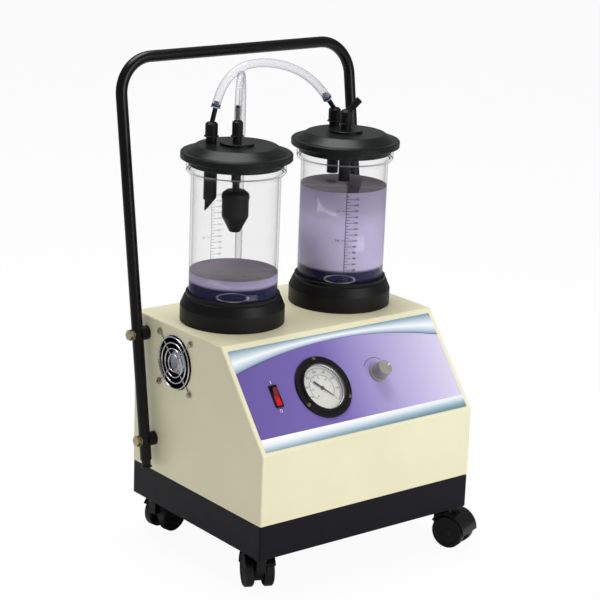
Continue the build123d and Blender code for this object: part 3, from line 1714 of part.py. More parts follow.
regulator_route = [
    regulator_start,
    regulator_start - Vector(22, 0, 0),
    Vector(-6, -71, 252),
    Vector(-13, -48, 258),
    Vector(-15, -20, 268),
    Vector(-17, 8, 280),
    Vector(-22, 40, 292),
    Vector(-28, 68, 302),
    Vector(port_x, 90, cabinet_top - tee_drop),
    Vector(port_x, port_y - port_thread_radius - tube_reach, cabinet_top - tee_drop),
]
with BuildPart() as inner_tubes:
    for route in (head_route, gauge_route, regulator_route):
        add(make_hose(route, tube_radius, tube_barb_radius, tube_overlap, tube_overlap).part)
inner_tubes.part.label = "inner_tubes"
export_step(inner_tubes.part, "parts/inner_tubes.step")

# Motor capacitor, standing on the tray floor
capacitor_base = Plane(origin=(capacitor_x, capacitor_y, tray_floor))
with BuildPart() as capacitor:
    turn(
        capacitor_base,
        [
            (0, 0),
            (capacitor_radius, 0),
            (capacitor_radius, capacitor_height - 1),
            (capacitor_radius - 1, capacitor_height),
            (0, capacitor_height),
        ],
    )
capacitor.part.label = "capacitor"
export_step(capacitor.part, "parts/capacitor.step")

# Casters
for corner, (side, end, angle) in casters.items():
    stem_x, stem_y = caster_places[corner]
    way = radians(angle)
    trail_way = Vector(cos(way), sin(way), 0)
    axle_way = Vector(-sin(way), cos(way), 0)
    side_plane = Plane(origin=(stem_x, stem_y, 0), x_dir=trail_way, z_dir=axle_way * -1)
    axle_point = Vector(stem_x, stem_y, wheel_radius) + trail_way * caster_trail
    axle_plane = Plane(origin=axle_point, x_dir=trail_way, z_dir=axle_way)
    hood_width = 2 * (wheel_inner + wheel_width + 0.5)
    socket_top = tray_clearance - caster_collar - 0.3

    # Hood: a shell over both wheels on a central web that carries the socket and the axle
    with BuildPart() as caster_hood:
        with BuildSketch(side_plane.offset(-hood_width / 2)):
            with BuildLine():
                centre = (caster_trail, wheel_radius)
                outer = CenterArc(centre, hood_radius, 0, hood_sweep)
                inner_arc = CenterArc(centre, hood_radius - hood_wall, 0, hood_sweep)
                Line(outer @ 0, inner_arc @ 0)
                Line(outer @ 1, inner_arc @ 1)
            make_face()
        extrude(amount=hood_width)
        with BuildSketch(side_plane.offset(-web_thickness / 2)):
            with BuildLine():
                outer = CenterArc(centre, hood_radius - 1, 0, hood_sweep)
                Line(outer @ 0, centre)
                Line(centre, outer @ 1)
            make_face()
            with Locations(centre):
                Circle(web_radius)
            with Locations((0, (socket_top + wheel_radius + 5) / 2)):
                Rectangle(2 * caster_stem_radius + 6, socket_top - wheel_radius - 5)
        extrude(amount=web_thickness)
        with BuildSketch(Plane.XY.offset(socket_top - caster_socket)):
            with Locations((stem_x, stem_y)):
                Circle(caster_socket_radius)
        extrude(amount=caster_socket)
        with BuildSketch(Plane.XY.offset(socket_top)):
            with Locations((stem_x, stem_y)):
                Circle(caster_stem_radius + running_gap)
        extrude(amount=-caster_stem_length, mode=Mode.SUBTRACT)
        with BuildSketch(axle_plane.offset(-hood_width / 2)):
            Circle(axle_radius + running_gap)
        extrude(amount=hood_width, mode=Mode.SUBTRACT)
    caster_hood.part.label = f"caster_hood_{corner}"
    export_step(caster_hood.part, f"parts/caster_hood_{corner}.step")

    # Wheel pair pressed on its axle, with dished outer faces
    with BuildPart() as caster_wheels:
        outside = wheel_inner + wheel_width
        for mirror_sign in (-1, 1):
            turn(
                axle_plane,
                [
                    (radius, mirror_sign * place)
                    for radius, place in (
                        (axle_radius + running_gap, wheel_inner),
                        (wheel_radius - wheel_edge, wheel_inner),
                        (wheel_radius, wheel_inner + wheel_edge),
                        (wheel_radius, outside - wheel_edge),
                        (wheel_radius - wheel_edge, outside),
                        (wheel_radius - 5, outside),
                        (wheel_radius - 6, outside - wheel_dish),
                        (6, outside - wheel_dish),
                        (5, outside),
                        (0, outside),
                        (0, outside - 2),
                        (axle_radius + running_gap, outside - 2),
                    )
                ],
            )
        with BuildSketch(axle_plane.offset(2.3 - outside)):
            Circle(axle_radius)
        extrude(amount=2 * (outside - 2.3))
    caster_wheels.part.label = f"caster_wheels_{corner}"
    export_step(caster_wheels.part, f"parts/caster_wheels_{corner}.step")

# Caster stems: pins with a collar under the tray and a nut on its floor
with BuildPart() as caster_stems:
    for x, y in caster_places.values():
        stem_base = Plane(origin=(x, y, tray_clearance))
        turn(
            stem_base,
            [
                (0, -caster_collar - caster_stem_length + 1),
                (caster_stem_radius, -caster_collar - caster_stem_length + 1),
                (caster_stem_radius, -caster_collar),
                (caster_collar_radius, -caster_collar),
                (caster_collar_radius, 0),
                (caster_stem_radius, 0),
                (caster_stem_radius, tray_sheet + caster_nut + 3),
                (0, tray_sheet + caster_nut + 3),
            ],
        )
        with BuildSketch(stem_base.offset(tray_sheet)):
            RegularPolygon(caster_nut_across / 2, 6, major_radius=False)
            Circle(caster_stem_radius + running_gap, mode=Mode.SUBTRACT)
        extrude(amount=caster_nut)
caster_stems.part.label = "caster_stems"
export_step(caster_stems.part, "parts/caster_stems.step")
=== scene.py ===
import math

import bmesh
import bpy
from mathutils import Matrix, Vector


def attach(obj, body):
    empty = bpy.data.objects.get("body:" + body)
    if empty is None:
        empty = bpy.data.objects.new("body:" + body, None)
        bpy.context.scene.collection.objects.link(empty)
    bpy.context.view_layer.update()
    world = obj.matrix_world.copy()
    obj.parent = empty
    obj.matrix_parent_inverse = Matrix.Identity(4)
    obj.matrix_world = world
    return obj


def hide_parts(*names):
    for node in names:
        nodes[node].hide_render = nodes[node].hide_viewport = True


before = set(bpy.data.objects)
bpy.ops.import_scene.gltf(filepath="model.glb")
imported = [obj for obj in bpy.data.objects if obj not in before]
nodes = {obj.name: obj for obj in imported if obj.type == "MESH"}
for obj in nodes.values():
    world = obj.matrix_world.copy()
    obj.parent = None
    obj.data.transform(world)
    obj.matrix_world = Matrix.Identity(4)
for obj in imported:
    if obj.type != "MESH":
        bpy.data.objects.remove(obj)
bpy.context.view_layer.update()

# Camera. The picture was taken from the front left, a little above the lids, from far off
# with a long lens, so upright edges hardly converge. It leans by two degrees.
aim_point = Vector((0.0353, 0.0594, 0.3296))
camera_distance = 2.875
azimuth, elevation, lean = (math.radians(angle) for angle in (-38.512, 16.056, 2.219))
to_camera = Vector(
    (
        math.sin(azimuth) * math.cos(elevation),
        -math.cos(azimuth) * math.cos(elevation),
        math.sin(elevation),
    )
)
level_right = Vector((math.cos(azimuth), math.sin(azimuth), 0))
level_up = to_camera.cross(level_right)
picture_right = level_right * math.cos(lean) + level_up * math.sin(lean)
picture_up = level_up * math.cos(lean) - level_right * math.sin(lean)
camera_data = bpy.data.cameras.new("photo_camera")
camera_data.sensor_width = 36
camera_data.lens = 121.93
camera = bpy.data.objects.new("photo_camera", camera_data)
bpy.context.scene.collection.objects.link(camera)
camera.matrix_world = Matrix.Translation(aim_point + to_camera * camera_distance) @ Matrix(
    (picture_right, picture_up, to_camera)
).transposed().to_4x4()
bpy.context.scene.camera = camera


# Clear hoses. Both are soft PVC tube pushed over the barbs of the fittings: the wide one joins
# the jars, and the narrow one loops behind the left jar to the port in the cabinet top.
def paint(red, green, blue):
    """Colour as it looks on a screen, from 0 to 255, as the linear colour that a shader takes."""
    shares = (value / 255 for value in (red, green, blue))
    return (*(s / 12.92 if s <= 0.04045 else ((s + 0.055) / 1.055) ** 2.4 for s in shares), 1)


class Reading:
    """Output socket of a node, which adds and multiplies as a number does."""

    def __init__(self, finish, socket):
        self.finish, self.socket = finish, socket

    def maths(self, operation, *values):
        return self.finish.node("ShaderNodeMath", {"operation": operation}, dict(enumerate(values)))

    def __add__(self, other):
        return self.maths("ADD", self, other)

    def __radd__(self, other):
        return self.maths("ADD", other, self)

    def __sub__(self, other):
        return self.maths("SUBTRACT", self, other)

    def __rsub__(self, other):
        return self.maths("SUBTRACT", other, self)

    def __mul__(self, other):
        return self.maths("MULTIPLY", self, other)

    def __rmul__(self, other):
        return self.maths("MULTIPLY", other, self)

    def __truediv__(self, other):
        return self.maths("DIVIDE", self, other)

    def over(self, other):
        """1 where the reading is greater than a number, and 0 elsewhere."""
        return self.maths("GREATER_THAN", self, other)

    def near(self, other, reach):
        """1 where the reading is within reach of a number, and 0 elsewhere."""
        return self.maths("COMPARE", self, other, reach)


class Finish:
    """One material: its nodes, and the shader that they feed."""

    def __init__(self, name):
        self.material = bpy.data.materials.new(name)
        self.material.use_nodes = True
        self.tree = self.material.node_tree
        self.shader = self.tree.nodes["Principled BSDF"]

    def fill(self, made, values):
        for key, value in values.items():
            if isinstance(value, Reading):
                self.tree.links.new(value.socket, made.inputs[key])
            else:
                made.inputs[key].default_value = value

    def node(self, kind, settings, values, output=0):
        made = self.tree.nodes.new(kind)
        for key, value in settings.items():
            if key == "stops":
                ramp = made.color_ramp.elements
                while len(ramp) < len(value):
                    ramp.new(0.5)
                for stop, (place, colour) in zip(ramp, value):
                    stop.position, stop.color = place, colour
            else:
                setattr(made, key, value)
        self.fill(made, values)
        return Reading(self, made.outputs[output])

    def set(self, values):
        self.fill(self.shader, values)

    def place(self):
        """Point of the surface, in metres, as a vector."""
        return self.node("ShaderNodeTexCoord", {}, {}, "Object")

    def axes(self):
        """The point's x, y and z as three readings."""
        split = self.node("ShaderNodeSeparateXYZ", {}, {"Vector": self.place()})
        outputs = split.socket.node.outputs
        return [Reading(self, outputs[i]) for i in range(3)]

    def noise(self, scale, detail=2.0):
        values = {"Vector": self.place(), "Scale": scale, "Detail": detail}
        return self.node("ShaderNodeTexNoise", {}, values)

    def ramp(self, value, stops):
        return self.node("ShaderNodeValToRGB", {"stops": stops}, {"Fac": value})

    def blend(self, factor, first, second):
        return self.node("ShaderNodeMix", {"data_type": "RGBA"}, {0: factor, 6: first, 7: second}, 2)

    def bump(self, height, distance):
        values = {"Height": height, "Distance": distance}
        self.set({"Normal": self.node("ShaderNodeBump", {}, values)})

    def mottled(self, colour, second, scale):
        """Base colour that wanders a little between two paints."""
        wander = self.ramp(self.noise(scale, 4.0), [(0.3, (0, 0, 0, 1)), (0.7, (1, 1, 1, 1))])
        self.set({"Base Color": self.blend(wander, colour, second)})


clear_pvc = Finish("clear_pvc")
side_view = clear_pvc.node("ShaderNodeLayerWeight", {}, {"Blend": 0.35}, "Facing")
haze = clear_pvc.noise(40.0)
# Painted shade: the colour turns grey towards the tube's edges, where its wall is seen on edge.
# Face-on it is the tube's own milky white.
clear_pvc.set(
    {
        "Base Color": clear_pvc.ramp(
            side_view, [(0.2, paint(222, 221, 229)), (0.85, paint(150, 150, 162))]
        ),
        "Alpha": side_view * 0.85 + 0.14 + haze * 0.05,
        "Roughness": haze * 0.1 + 0.06,
        "IOR": 1.5,
        "Coat Weight": 0.3,
    }
)
clear_pvc.bump(haze, 0.0002)

link_radius = 0.006
link_points = [
    (-0.1098, 0.0747, 0.6153),
    (-0.1048, 0.0748, 0.6336),
    (-0.0881, 0.0753, 0.6565),
    (-0.0611, 0.0761, 0.6695),
    (-0.0271, 0.0770, 0.6705),
    (0.0079, 0.0780, 0.6635),
    (0.0399, 0.0789, 0.6510),
    (0.0701, 0.0798, 0.6302),
    (0.0872, 0.0803, 0.6106),
]
vacuum_radius = 0.005
vacuum_points = [
    (-0.0940, 0.0450, 0.6030),
    (-0.0940, 0.0450, 0.6240),
    (-0.0838, 0.0571, 0.6483),
    (-0.0663, 0.0779, 0.6582),
    (-0.0484, 0.0991, 0.6497),
    (-0.0374, 0.1121, 0.6263),
    (-0.0328, 0.1177, 0.5870),
    (-0.0312, 0.1196, 0.5300),
    (-0.0309, 0.1199, 0.4730),
    (-0.0315, 0.1192, 0.4200),
    (-0.0325, 0.1180, 0.3750),
    (-0.0325, 0.1180, 0.3340),
]


def lay_hose(name, node, points, radius):
    """Hose along its route, open at both ends, which goes back into the machine."""
    line = bpy.data.curves.new(name, "CURVE")
    line.dimensions = "3D"
    line.resolution_u = 12
    spline = line.splines.new("NURBS")
    spline.points.add(len(points) - 1)
    for control, point in zip(spline.points, points):
        control.co = (*point, 1)
    spline.order_u = 3
    spline.use_endpoint_u = True
    line.bevel_depth = radius
    line.bevel_resolution = 6
    hose = bpy.data.objects.new(name, line)
    bpy.context.scene.collection.objects.link(hose)
    line.materials.append(clear_pvc.material)
    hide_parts(node)
    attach(hose, "left_lid")


lay_hose("link_hose_tube", "link_hose", link_points, link_radius)
lay_hose("vacuum_hose_tube", "vacuum_hose", vacuum_points, vacuum_radius)


# Cabinet and rear panel. Folded sheet steel with a cream powder coat, which is smooth to the
# eye and has a fine orange-peel ripple in its sheen.
def coat(node, finish):
    """Gives a carried-over node its finish."""
    if not nodes[node].material_slots:
        nodes[node].data.materials.append(finish.material)
    for place in nodes[node].material_slots:
        place.material = finish.material


cream = Finish("cream_powder_coat")
cream.mottled(paint(238, 233, 199), paint(232, 227, 192), 9.0)
cream.set({"Roughness": cream.noise(30.0) * 0.08 + 0.34, "Specular IOR Level": 0.5})
cream.bump(cream.noise(900.0), 0.00006)
coat("cabinet_shell", cream)
coat("rear_panel", cream)

# Base tray. A pan folded from thicker steel sheet, with a blue-black satin powder coat, which
# the cabinet stands in and the caster stems are bolted through.
tray_black = Finish("blue_black_powder_coat")
tray_black.mottled(paint(15, 12, 22), paint(12, 10, 18), 14.0)
tray_black.set({"Roughness": tray_black.noise(40.0) * 0.1 + 0.4, "Specular IOR Level": 0.12})
tray_black.bump(tray_black.noise(900.0), 0.00006)
coat("base_tray", tray_black)

# Panel film. A polyester film printed on its back: violet that fades to lavender at the right,
# a silvery band along each long edge, and a thin line between them. Nothing is written on it.
slope_top = Vector((0, -0.052, 0.325))
slope_up = Vector((0, 0.098, 0.123)).normalized()
slope_out = Vector((0, -0.123, 0.098)).normalized()
film_top = 0.008
film_bottom = 0.1523
film_half = 0.1755
film_height = 0.0004
printed = Finish("printed_film")
film_x, film_y, film_z = printed.axes()
down = (slope_top.y - film_y) * slope_up.y + (slope_top.z - film_z) * slope_up.z
across = film_x / film_half
violet = printed.ramp(
    across * 0.5 + 0.5,
    [
        (0.0, paint(106, 90, 160)),
        (0.42, paint(122, 106, 178)),
        (0.62, paint(164, 154, 206)),
        (0.85, paint(196, 188, 224)),
        (1.0, paint(214, 208, 232)),
    ],
)
arch_crown, arch_fall = 0.0185, 0.022
arch = across * across * arch_fall + arch_crown
upper = (down - film_top) / (arch - film_top)
silver = printed.ramp(
    upper,
    [
        (0.0, paint(122, 152, 168)),
        (0.3, paint(196, 212, 224)),
        (0.55, paint(246, 248, 252)),
        (0.85, paint(184, 200, 218)),
        (1.0, paint(128, 152, 176)),
    ],
)
lower_edge = 0.1345
lower = (down - lower_edge) / (film_bottom - lower_edge)
foot_band = printed.ramp(
    lower + across * 0.18,
    [
        (0.0, paint(250, 251, 253)),
        (0.35, paint(224, 232, 240)),
        (0.75, paint(150, 176, 190)),
        (1.0, paint(112, 144, 158)),
    ],
)
line_share = 0.035
inks = printed.blend(1 - upper.over(1 + line_share), violet, paint(70, 74, 120))
inks = printed.blend(1 - upper.over(1.0), inks, silver)
inks = printed.blend(lower.over(0.0), inks, foot_band)
printed.set(
    {
        "Base Color": inks,
        "Roughness": printed.noise(60.0) * 0.06 + 0.34,
        "Specular IOR Level": 0.2,
    }
)
printed.bump(printed.noise(1500.0), 0.00002)
coat("fascia_film", printed)


# Marks printed on the film. A thin dark arc above the knob shows which way to turn it, and a
# white bar and ring at the ends of the switch stand for on and off.
def on_slope(x, distance_down, height):
    """Matrix that lays a flat drawing on the sloping panel, its y pointing up the slope."""
    spot = slope_top + Vector((x, 0, 0)) - slope_up * distance_down + slope_out * height
    turn = Matrix((Vector((1, 0, 0)), slope_up, slope_out)).transposed().to_4x4()
    return Matrix.Translation(spot) @ turn


def finished(shape, name, body, material, smooth=True):
    """Turns a bmesh into a piece of the machine that rides on a body."""
    for face in shape.faces:
        face.smooth = smooth
    mesh = bpy.data.meshes.new(name)
    shape.to_mesh(mesh)
    shape.free()
    piece = bpy.data.objects.new(name, mesh)
    bpy.context.scene.collection.objects.link(piece)
    mesh.materials.append(material)
    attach(piece, body)
    return piece


def draw_arc(shape, radius, width, thickness, start, sweep, steps, place):
    """Flat strip bent round a centre, from one angle through another."""
    first = shape.verts.new((radius - width / 2, 0, 0))
    second = shape.verts.new((radius + width / 2, 0, 0))
    edge = shape.edges.new((first, second))
    turned = Matrix.Rotation(math.radians(start), 4, "Z")
    bmesh.ops.transform(shape, matrix=turned, verts=[first, second])
    bmesh.ops.spin(
        shape,
        geom=[first, second, edge],
        cent=(0, 0, 0),
        axis=(0, 0, 1),
        angle=math.radians(sweep),
        steps=steps,
        use_merge=abs(sweep) >= 360,
    )
    if abs(sweep) >= 360:
        bmesh.ops.remove_doubles(shape, verts=shape.verts, dist=1e-7)
    bmesh.ops.recalc_face_normals(shape, faces=shape.faces)
    bmesh.ops.solidify(shape, geom=list(shape.faces), thickness=thickness)
    bmesh.ops.transform(shape, matrix=place, verts=shape.verts)


def ink_finish(name, colour, second):
    """Flat printing ink with a slightly uneven lay."""
    ink = Finish(name)
    ink.mottled(colour, second, 300.0)
    ink.set({"Roughness": ink.noise(400.0) * 0.1 + 0.45})
    return ink.material


dark_ink = ink_finish("dark_ink", paint(44, 42, 66), paint(52, 50, 74))
white_ink = ink_finish("white_ink", paint(240, 240, 246), paint(230, 230, 238))
ink_height = 0.00006
ink_line = 0.0007
knob_x, knob_down = 0.0485, 0.078
arc_radius = 0.0225
knob_arc = bmesh.new()
arc_place = on_slope(knob_x, knob_down, film_height + ink_height)
draw_arc(knob_arc, arc_radius, ink_line, ink_height, 145, -91, 40, arc_place)
finished(knob_arc, "knob_turn_arc", "machine", dark_ink)


def add_bar(shape, width, height, thickness, place):
    """Flat bar centred on a place."""
    made = bmesh.ops.create_cube(shape, size=1)
    scaled = place @ Matrix.Diagonal((width, height, thickness, 1))
    bmesh.ops.transform(shape, matrix=scaled, verts=made["verts"])


switch_x, switch_down, mark_reach = -0.128, 0.081, 0.0205
ring_radius = 0.0019
bar_width, bar_height = 0.0009, 0.0042
switch_marks = bmesh.new()
off_place = on_slope(switch_x, switch_down + mark_reach, film_height + ink_height)
draw_arc(switch_marks, ring_radius, ink_line, ink_height, 0, 360, 24, off_place)
on_place = on_slope(switch_x, switch_down - mark_reach, film_height)
add_bar(switch_marks, bar_width, bar_height, ink_height, on_place)
finished(switch_marks, "switch_marks", "machine", white_ink, smooth=False)


# Black mouldings. Lids, jar rings, gauge case, hoods and small housings are moulded in black
# plastic, with a soft sheen, a faint grain and a little greenness in the lids.
def black_moulding(name, dark, light, low, high, grain):
    """Black plastic, two blacks in patches, whose gloss wanders between two roughnesses."""
    moulding = Finish(name)
    moulding.mottled(dark, light, 22.0)
    moulding.set(
        {
            "Roughness": moulding.noise(18.0, 3.0) * (high - low) + low,
            "Specular IOR Level": 0.2,
        }
    )
    moulding.bump(moulding.noise(grain), 0.00008)
    return moulding


lid_black = black_moulding("lid_moulding", paint(11, 15, 14), paint(17, 21, 20), 0.26, 0.42, 700.0)
for part in ("lid_left", "lid_right"):
    coat(part, lid_black)
ring_black = black_moulding("ring_moulding", paint(13, 12, 13), paint(19, 18, 19), 0.36, 0.55, 800.0)
for part in ("jar_ring_left", "jar_ring_right"):
    coat(part, ring_black)
case_black = black_moulding("case_moulding", paint(14, 14, 16), paint(20, 20, 22), 0.3, 0.46, 900.0)
for part in (
    "gauge_case",
    "switch_housing",
    "fan_frame",
    "fan_rotor",
    "mains_inlet",
    "handle_caps",
    "handle_spacers",
):
    coat(part, case_black)
hood_black = black_moulding("hood_moulding", paint(12, 12, 15), paint(18, 18, 21), 0.2, 0.34, 600.0)
wheel_black = black_moulding("wheel_moulding", paint(18, 18, 21), paint(26, 26, 29), 0.28, 0.42, 500.0)
for corner in ("front_left", "front_right", "rear_left", "rear_right"):
    coat(f"caster_hood_{corner}", hood_black)
    coat(f"caster_wheels_{corner}", wheel_black)

# Fittings, tubes and overflow valve. Moulded in brown-black plastic that is duller than the
# lids, with fine flow marks.
fitting_black = black_moulding(
    "fitting_moulding", paint(16, 13, 13), paint(24, 20, 20), 0.34, 0.5, 1200.0
)
for part in (
    "fittings_left",
    "fittings_right",
    "inlet_tube",
    "drop_tubes",
    "overflow_valve",
    "valve_float",
):
    coat(part, fitting_black)

# Gaskets, pump feet and inner tubes. Rubber is matt and slightly dusty, and the silicone tubes
# inside are milky.
rubber_black = black_moulding("gasket_rubber", paint(16, 16, 16), paint(26, 26, 25), 0.6, 0.8, 400.0)
for part in ("lid_gasket_left", "lid_gasket_right", "rubber_mounts"):
    coat(part, rubber_black)
silicone = Finish("milky_silicone")
silicone.mottled(paint(214, 213, 206), paint(202, 201, 194), 60.0)
silicone.set({"Roughness": silicone.noise(90.0) * 0.12 + 0.42, "Subsurface Weight": 0.15})
coat("inner_tubes", silicone)


# Push handle. Steel tube bent in one piece, in black gloss powder coat, which two bolts a side
# hold to the cabinet over plastic spacers.
handle_black = black_moulding(
    "handle_powder_coat", paint(12, 10, 11), paint(18, 16, 17), 0.22, 0.32, 1000.0
)
coat("handle_tube", handle_black)


# Metal parts. Bolts and screws are zinc plated with a yellow tinge, the grille and port are
# chromed, and the pump is cast in aluminium with ground steel shafts.
def metal(name, base, second, low, high, scale, grain):
    """Metal whose colour and polish wander a little."""
    surface = Finish(name)
    surface.mottled(base, second, scale)
    surface.set({"Metallic": 1.0, "Roughness": surface.noise(scale * 2, 3.0) * (high - low) + low})
    surface.bump(surface.noise(grain), 0.00005)
    return surface


zinc = metal("zinc_plate", paint(176, 166, 130), paint(142, 134, 106), 0.22, 0.42, 160.0, 1500.0)
for part in ("handle_bolts", "fan_screws", "case_screws", "caster_stems"):
    coat(part, zinc)
brass = metal("turned_brass", paint(158, 146, 104), paint(132, 120, 84), 0.25, 0.4, 200.0, 1500.0)
for part in ("gauge_screws", "regulator_valve"):
    coat(part, brass)
chrome = metal("chrome_plate", paint(196, 196, 200), paint(172, 172, 178), 0.16, 0.28, 90.0, 1200.0)
for part in ("fan_grille", "vacuum_port"):
    coat(part, chrome)
cast = metal("cast_aluminium", paint(172, 173, 176), paint(150, 152, 156), 0.45, 0.62, 60.0, 500.0)
for part in ("motor_housing", "crankcase", "cylinder", "cylinder_head", "piston_rod"):
    coat(part, cast)
steel = metal("ground_steel", paint(186, 187, 190), paint(168, 170, 174), 0.22, 0.36, 140.0, 1800.0)
for part in ("shaft_bearings", "pump_shaft"):
    coat(part, steel)
can = Finish("capacitor_can")
can.mottled(paint(206, 208, 210), paint(192, 194, 197), 50.0)
can.set({"Roughness": can.noise(60.0) * 0.1 + 0.4})
coat("capacitor", can)

# Rocker. Clear red plastic on two pins in the switch housing. It is bright red on its lower half,
# which stands up into the light, and painted shade darkens its upper half, which is pressed in.
rocker_red = Finish("clear_red_plastic")
rocker_foot, rocker_rise = 0.2515, 0.02
rocker_painted_shade_share = (rocker_red.axes()[2] - rocker_foot) / rocker_rise
rocker_red.set(
    {
        "Base Color": rocker_red.ramp(
            rocker_painted_shade_share + rocker_red.noise(160.0) * 0.1,
            [(0.0, paint(214, 26, 24)), (0.5, paint(206, 20, 20)), (0.68, paint(112, 8, 12))],
        ),
        "Roughness": rocker_red.noise(120.0) * 0.08 + 0.22,
        "Specular IOR Level": 0.3,
    }
)
coat("switch_rocker", rocker_red)

# Fan's hub disc. A plain round of brushed foil, stuck on the face of the rotor's hub, which turns
# with it behind the wire grille.
foil = metal("brushed_foil", paint(196, 198, 202), paint(150, 152, 158), 0.3, 0.5, 120.0, 1500.0)
hub_face = (-0.1785, 0.052, 0.275)
disc_radius = 0.0165
disc = bmesh.new()
bmesh.ops.create_cone(
    disc,
    cap_ends=True,
    segments=64,
    radius1=disc_radius,
    radius2=disc_radius,
    depth=0.0004,
    matrix=Matrix.Translation(hub_face) @ Matrix.Rotation(math.pi / 2, 4, "Y"),
)
finished(disc, "hub_disc", "fan", foil.material, smooth=False)

# Knob. Mid grey moulding with a fluted skirt and a pale pointer line let into its face.
knob_grey = Finish("grey_knob_moulding")
knob_grey.mottled(paint(152, 152, 143), paint(138, 138, 130), 120.0)
knob_grey.set({"Roughness": knob_grey.noise(90.0, 3.0) * 0.12 + 0.36})
knob_grey.bump(knob_grey.noise(1400.0), 0.00005)
coat("vacuum_knob", knob_grey)
knob_gap, knob_length, pointer_depth = 0.0006, 0.02, 0.0003
knob_face = on_slope(knob_x, knob_down, film_height + knob_gap + knob_length - pointer_depth)
pointer_turn = Matrix.Rotation(math.radians(24), 4, "Z")
pointer = bmesh.new()
pointer_place = knob_face @ pointer_turn @ Matrix.Translation((0.0078, 0, 0))
add_bar(pointer, 0.0049, 0.0011, 0.0005, pointer_place)
finished(pointer, "knob_pointer", "knob", white_ink, smooth=False)

# Gauge. A white dial with a black scale of 0 to 700 outside and 0 to 30 inside, read by a black
# needle, in a silver inner rim under a clear window.
gauge_x, gauge_down = -0.049, 0.082
dial_level = film_height - 0.003
dial_zero, dial_sweep = -45, 270
dial_white = Finish("dial_enamel")
dial_white.mottled(paint(222, 221, 214), paint(212, 211, 204), 60.0)
dial_white.set({"Roughness": dial_white.noise(200.0) * 0.1 + 0.4})
coat("gauge_dial", dial_white)
needle_black = black_moulding("needle_enamel", paint(18, 18, 20), paint(26, 26, 28), 0.3, 0.4, 900.0)
coat("gauge_needle", needle_black)
window = Finish("clear_window")
window_facing = window.node("ShaderNodeLayerWeight", {}, {"Blend": 0.3}, "Facing")
window.set(
    {
        "Base Color": window.ramp(window_facing, [(0.0, (1, 1, 1, 1)), (1.0, paint(220, 226, 230))]),
        "Alpha": window_facing * 0.2 + 0.02,
        "Roughness": window.noise(30.0) * 0.03 + 0.02,
    }
)
coat("gauge_lens", window)


def gauge_place(height):
    return on_slope(gauge_x, gauge_down, height)


rim_height = 0.0048
rim = bmesh.new()
draw_arc(rim, 0.0322, 0.0014, 0.0045, 0, 360, 96, gauge_place(dial_level + rim_height))
finished(rim, "gauge_rim", "machine", chrome.material)

dial_ink = ink_finish("dial_ink", paint(34, 34, 36), paint(42, 42, 44))
dial_ink_height, dial_ink_rise = 0.00008, 0.00003
dial_marks = bmesh.new()


def dial_tick(value, full, radius, length, width):
    """Stroke of a scale at the angle of its value."""
    angle = math.radians(dial_zero + dial_sweep * value / full)
    along = Matrix.Rotation(angle, 4, "Z") @ Matrix.Translation((radius - length / 2, 0, 0))
    place = gauge_place(dial_level + dial_ink_rise) @ along
    add_bar(dial_marks, length, width, dial_ink_height, place)


def write(shape, words, height, thickness, place):
    """Plain figures, centred on a place."""
    line = bpy.data.curves.new("figures", "FONT")
    line.body = words
    line.size = height
    line.align_x = "CENTER"
    line.align_y = "CENTER"
    line.resolution_u = 2
    line.extrude = thickness / 2
    holder = bpy.data.objects.new("figures", line)
    bpy.context.scene.collection.objects.link(holder)
    mesh = bpy.data.meshes.new_from_object(holder)
    mesh.transform(place)
    shape.from_mesh(mesh)
    bpy.data.objects.remove(holder)
    bpy.data.curves.remove(line)
    bpy.data.meshes.remove(mesh)


def dial_figure(words, value, full, radius, height):
    """Figure of a scale, upright, at the angle of its value."""
    angle = math.radians(dial_zero + dial_sweep * value / full)
    spot = Matrix.Translation((radius * math.cos(angle), radius * math.sin(angle), 0))
    place = gauge_place(dial_level + dial_ink_rise) @ spot
    write(dial_marks, words, height, dial_ink_height, place)


outer_full, inner_full = 760, 30
for value in range(0, outer_full + 1, 10):
    length, width = (0.0032, 0.0007) if value % 100 == 0 else (0.0017, 0.0003)
    dial_tick(value, outer_full, 0.0290, length, width)
for value in range(inner_full + 1):
    length, width = (0.0024, 0.0006) if value % 5 == 0 else (0.0014, 0.0003)
    dial_tick(value, inner_full, 0.0192, length, width)
for value in range(0, outer_full, 100):
    dial_figure(str(value), value, outer_full, 0.0236, 0.0044)
for value in range(0, inner_full + 1, 5):
    dial_figure(str(value), value, inner_full, 0.0146, 0.0038)
finished(dial_marks, "dial_scale", "machine", dial_ink, smooth=False)
line_width = 0.0005
line_place = gauge_place(dial_level + 0.00007)
for name, radius, steps in (("dial_outer_line", 0.0292, 90), ("dial_inner_line", 0.0194, 72)):
    dial_line = bmesh.new()
    draw_arc(dial_line, radius, line_width, dial_ink_height, dial_zero, dial_sweep, steps, line_place)
    finished(dial_line, name, "machine", dial_ink)

# Jars. Clear polycarbonate, moulded in one piece with a floor and a wider collar at the mouth.
# The thick wall's dark lines are painted: grey at its sides, where it is seen on edge, and narrow
# opaque bands at both edges of the collar.
jar_y = 0.045
jar_centres = {"left": -0.094, "right": 0.094}
cabinet_top = 0.325
polycarbonate = Finish("clear_polycarbonate")
grazing = polycarbonate.node("ShaderNodeLayerWeight", {}, {"Blend": 0.22}, "Facing")
scuff = polycarbonate.noise(24.0, 4.0)
collar_foot, collar_top, seen_line = 0.2085, 0.229, 0.0006
jar_height = polycarbonate.axes()[2] - cabinet_top
# Painted dark lines at both edges of the collar.
painted_collar_lines = jar_height.near(collar_foot, seen_line) + jar_height.near(collar_top, seen_line)
painted_edge_greys = [(0.0, paint(70, 70, 76)), (0.35, paint(120, 120, 128)), (0.8, paint(96, 96, 104))]
polycarbonate.set(
    {
        "Base Color": polycarbonate.ramp(grazing, painted_edge_greys),
        "Alpha": grazing * grazing * grazing * 1.5 + 0.028 + scuff * 0.02 + painted_collar_lines * 0.8,
        "Roughness": scuff * 0.05 + 0.02,
        "IOR": 1.45,
    }
)
for side in jar_centres:
    coat(f"jar_{side}", polycarbonate)
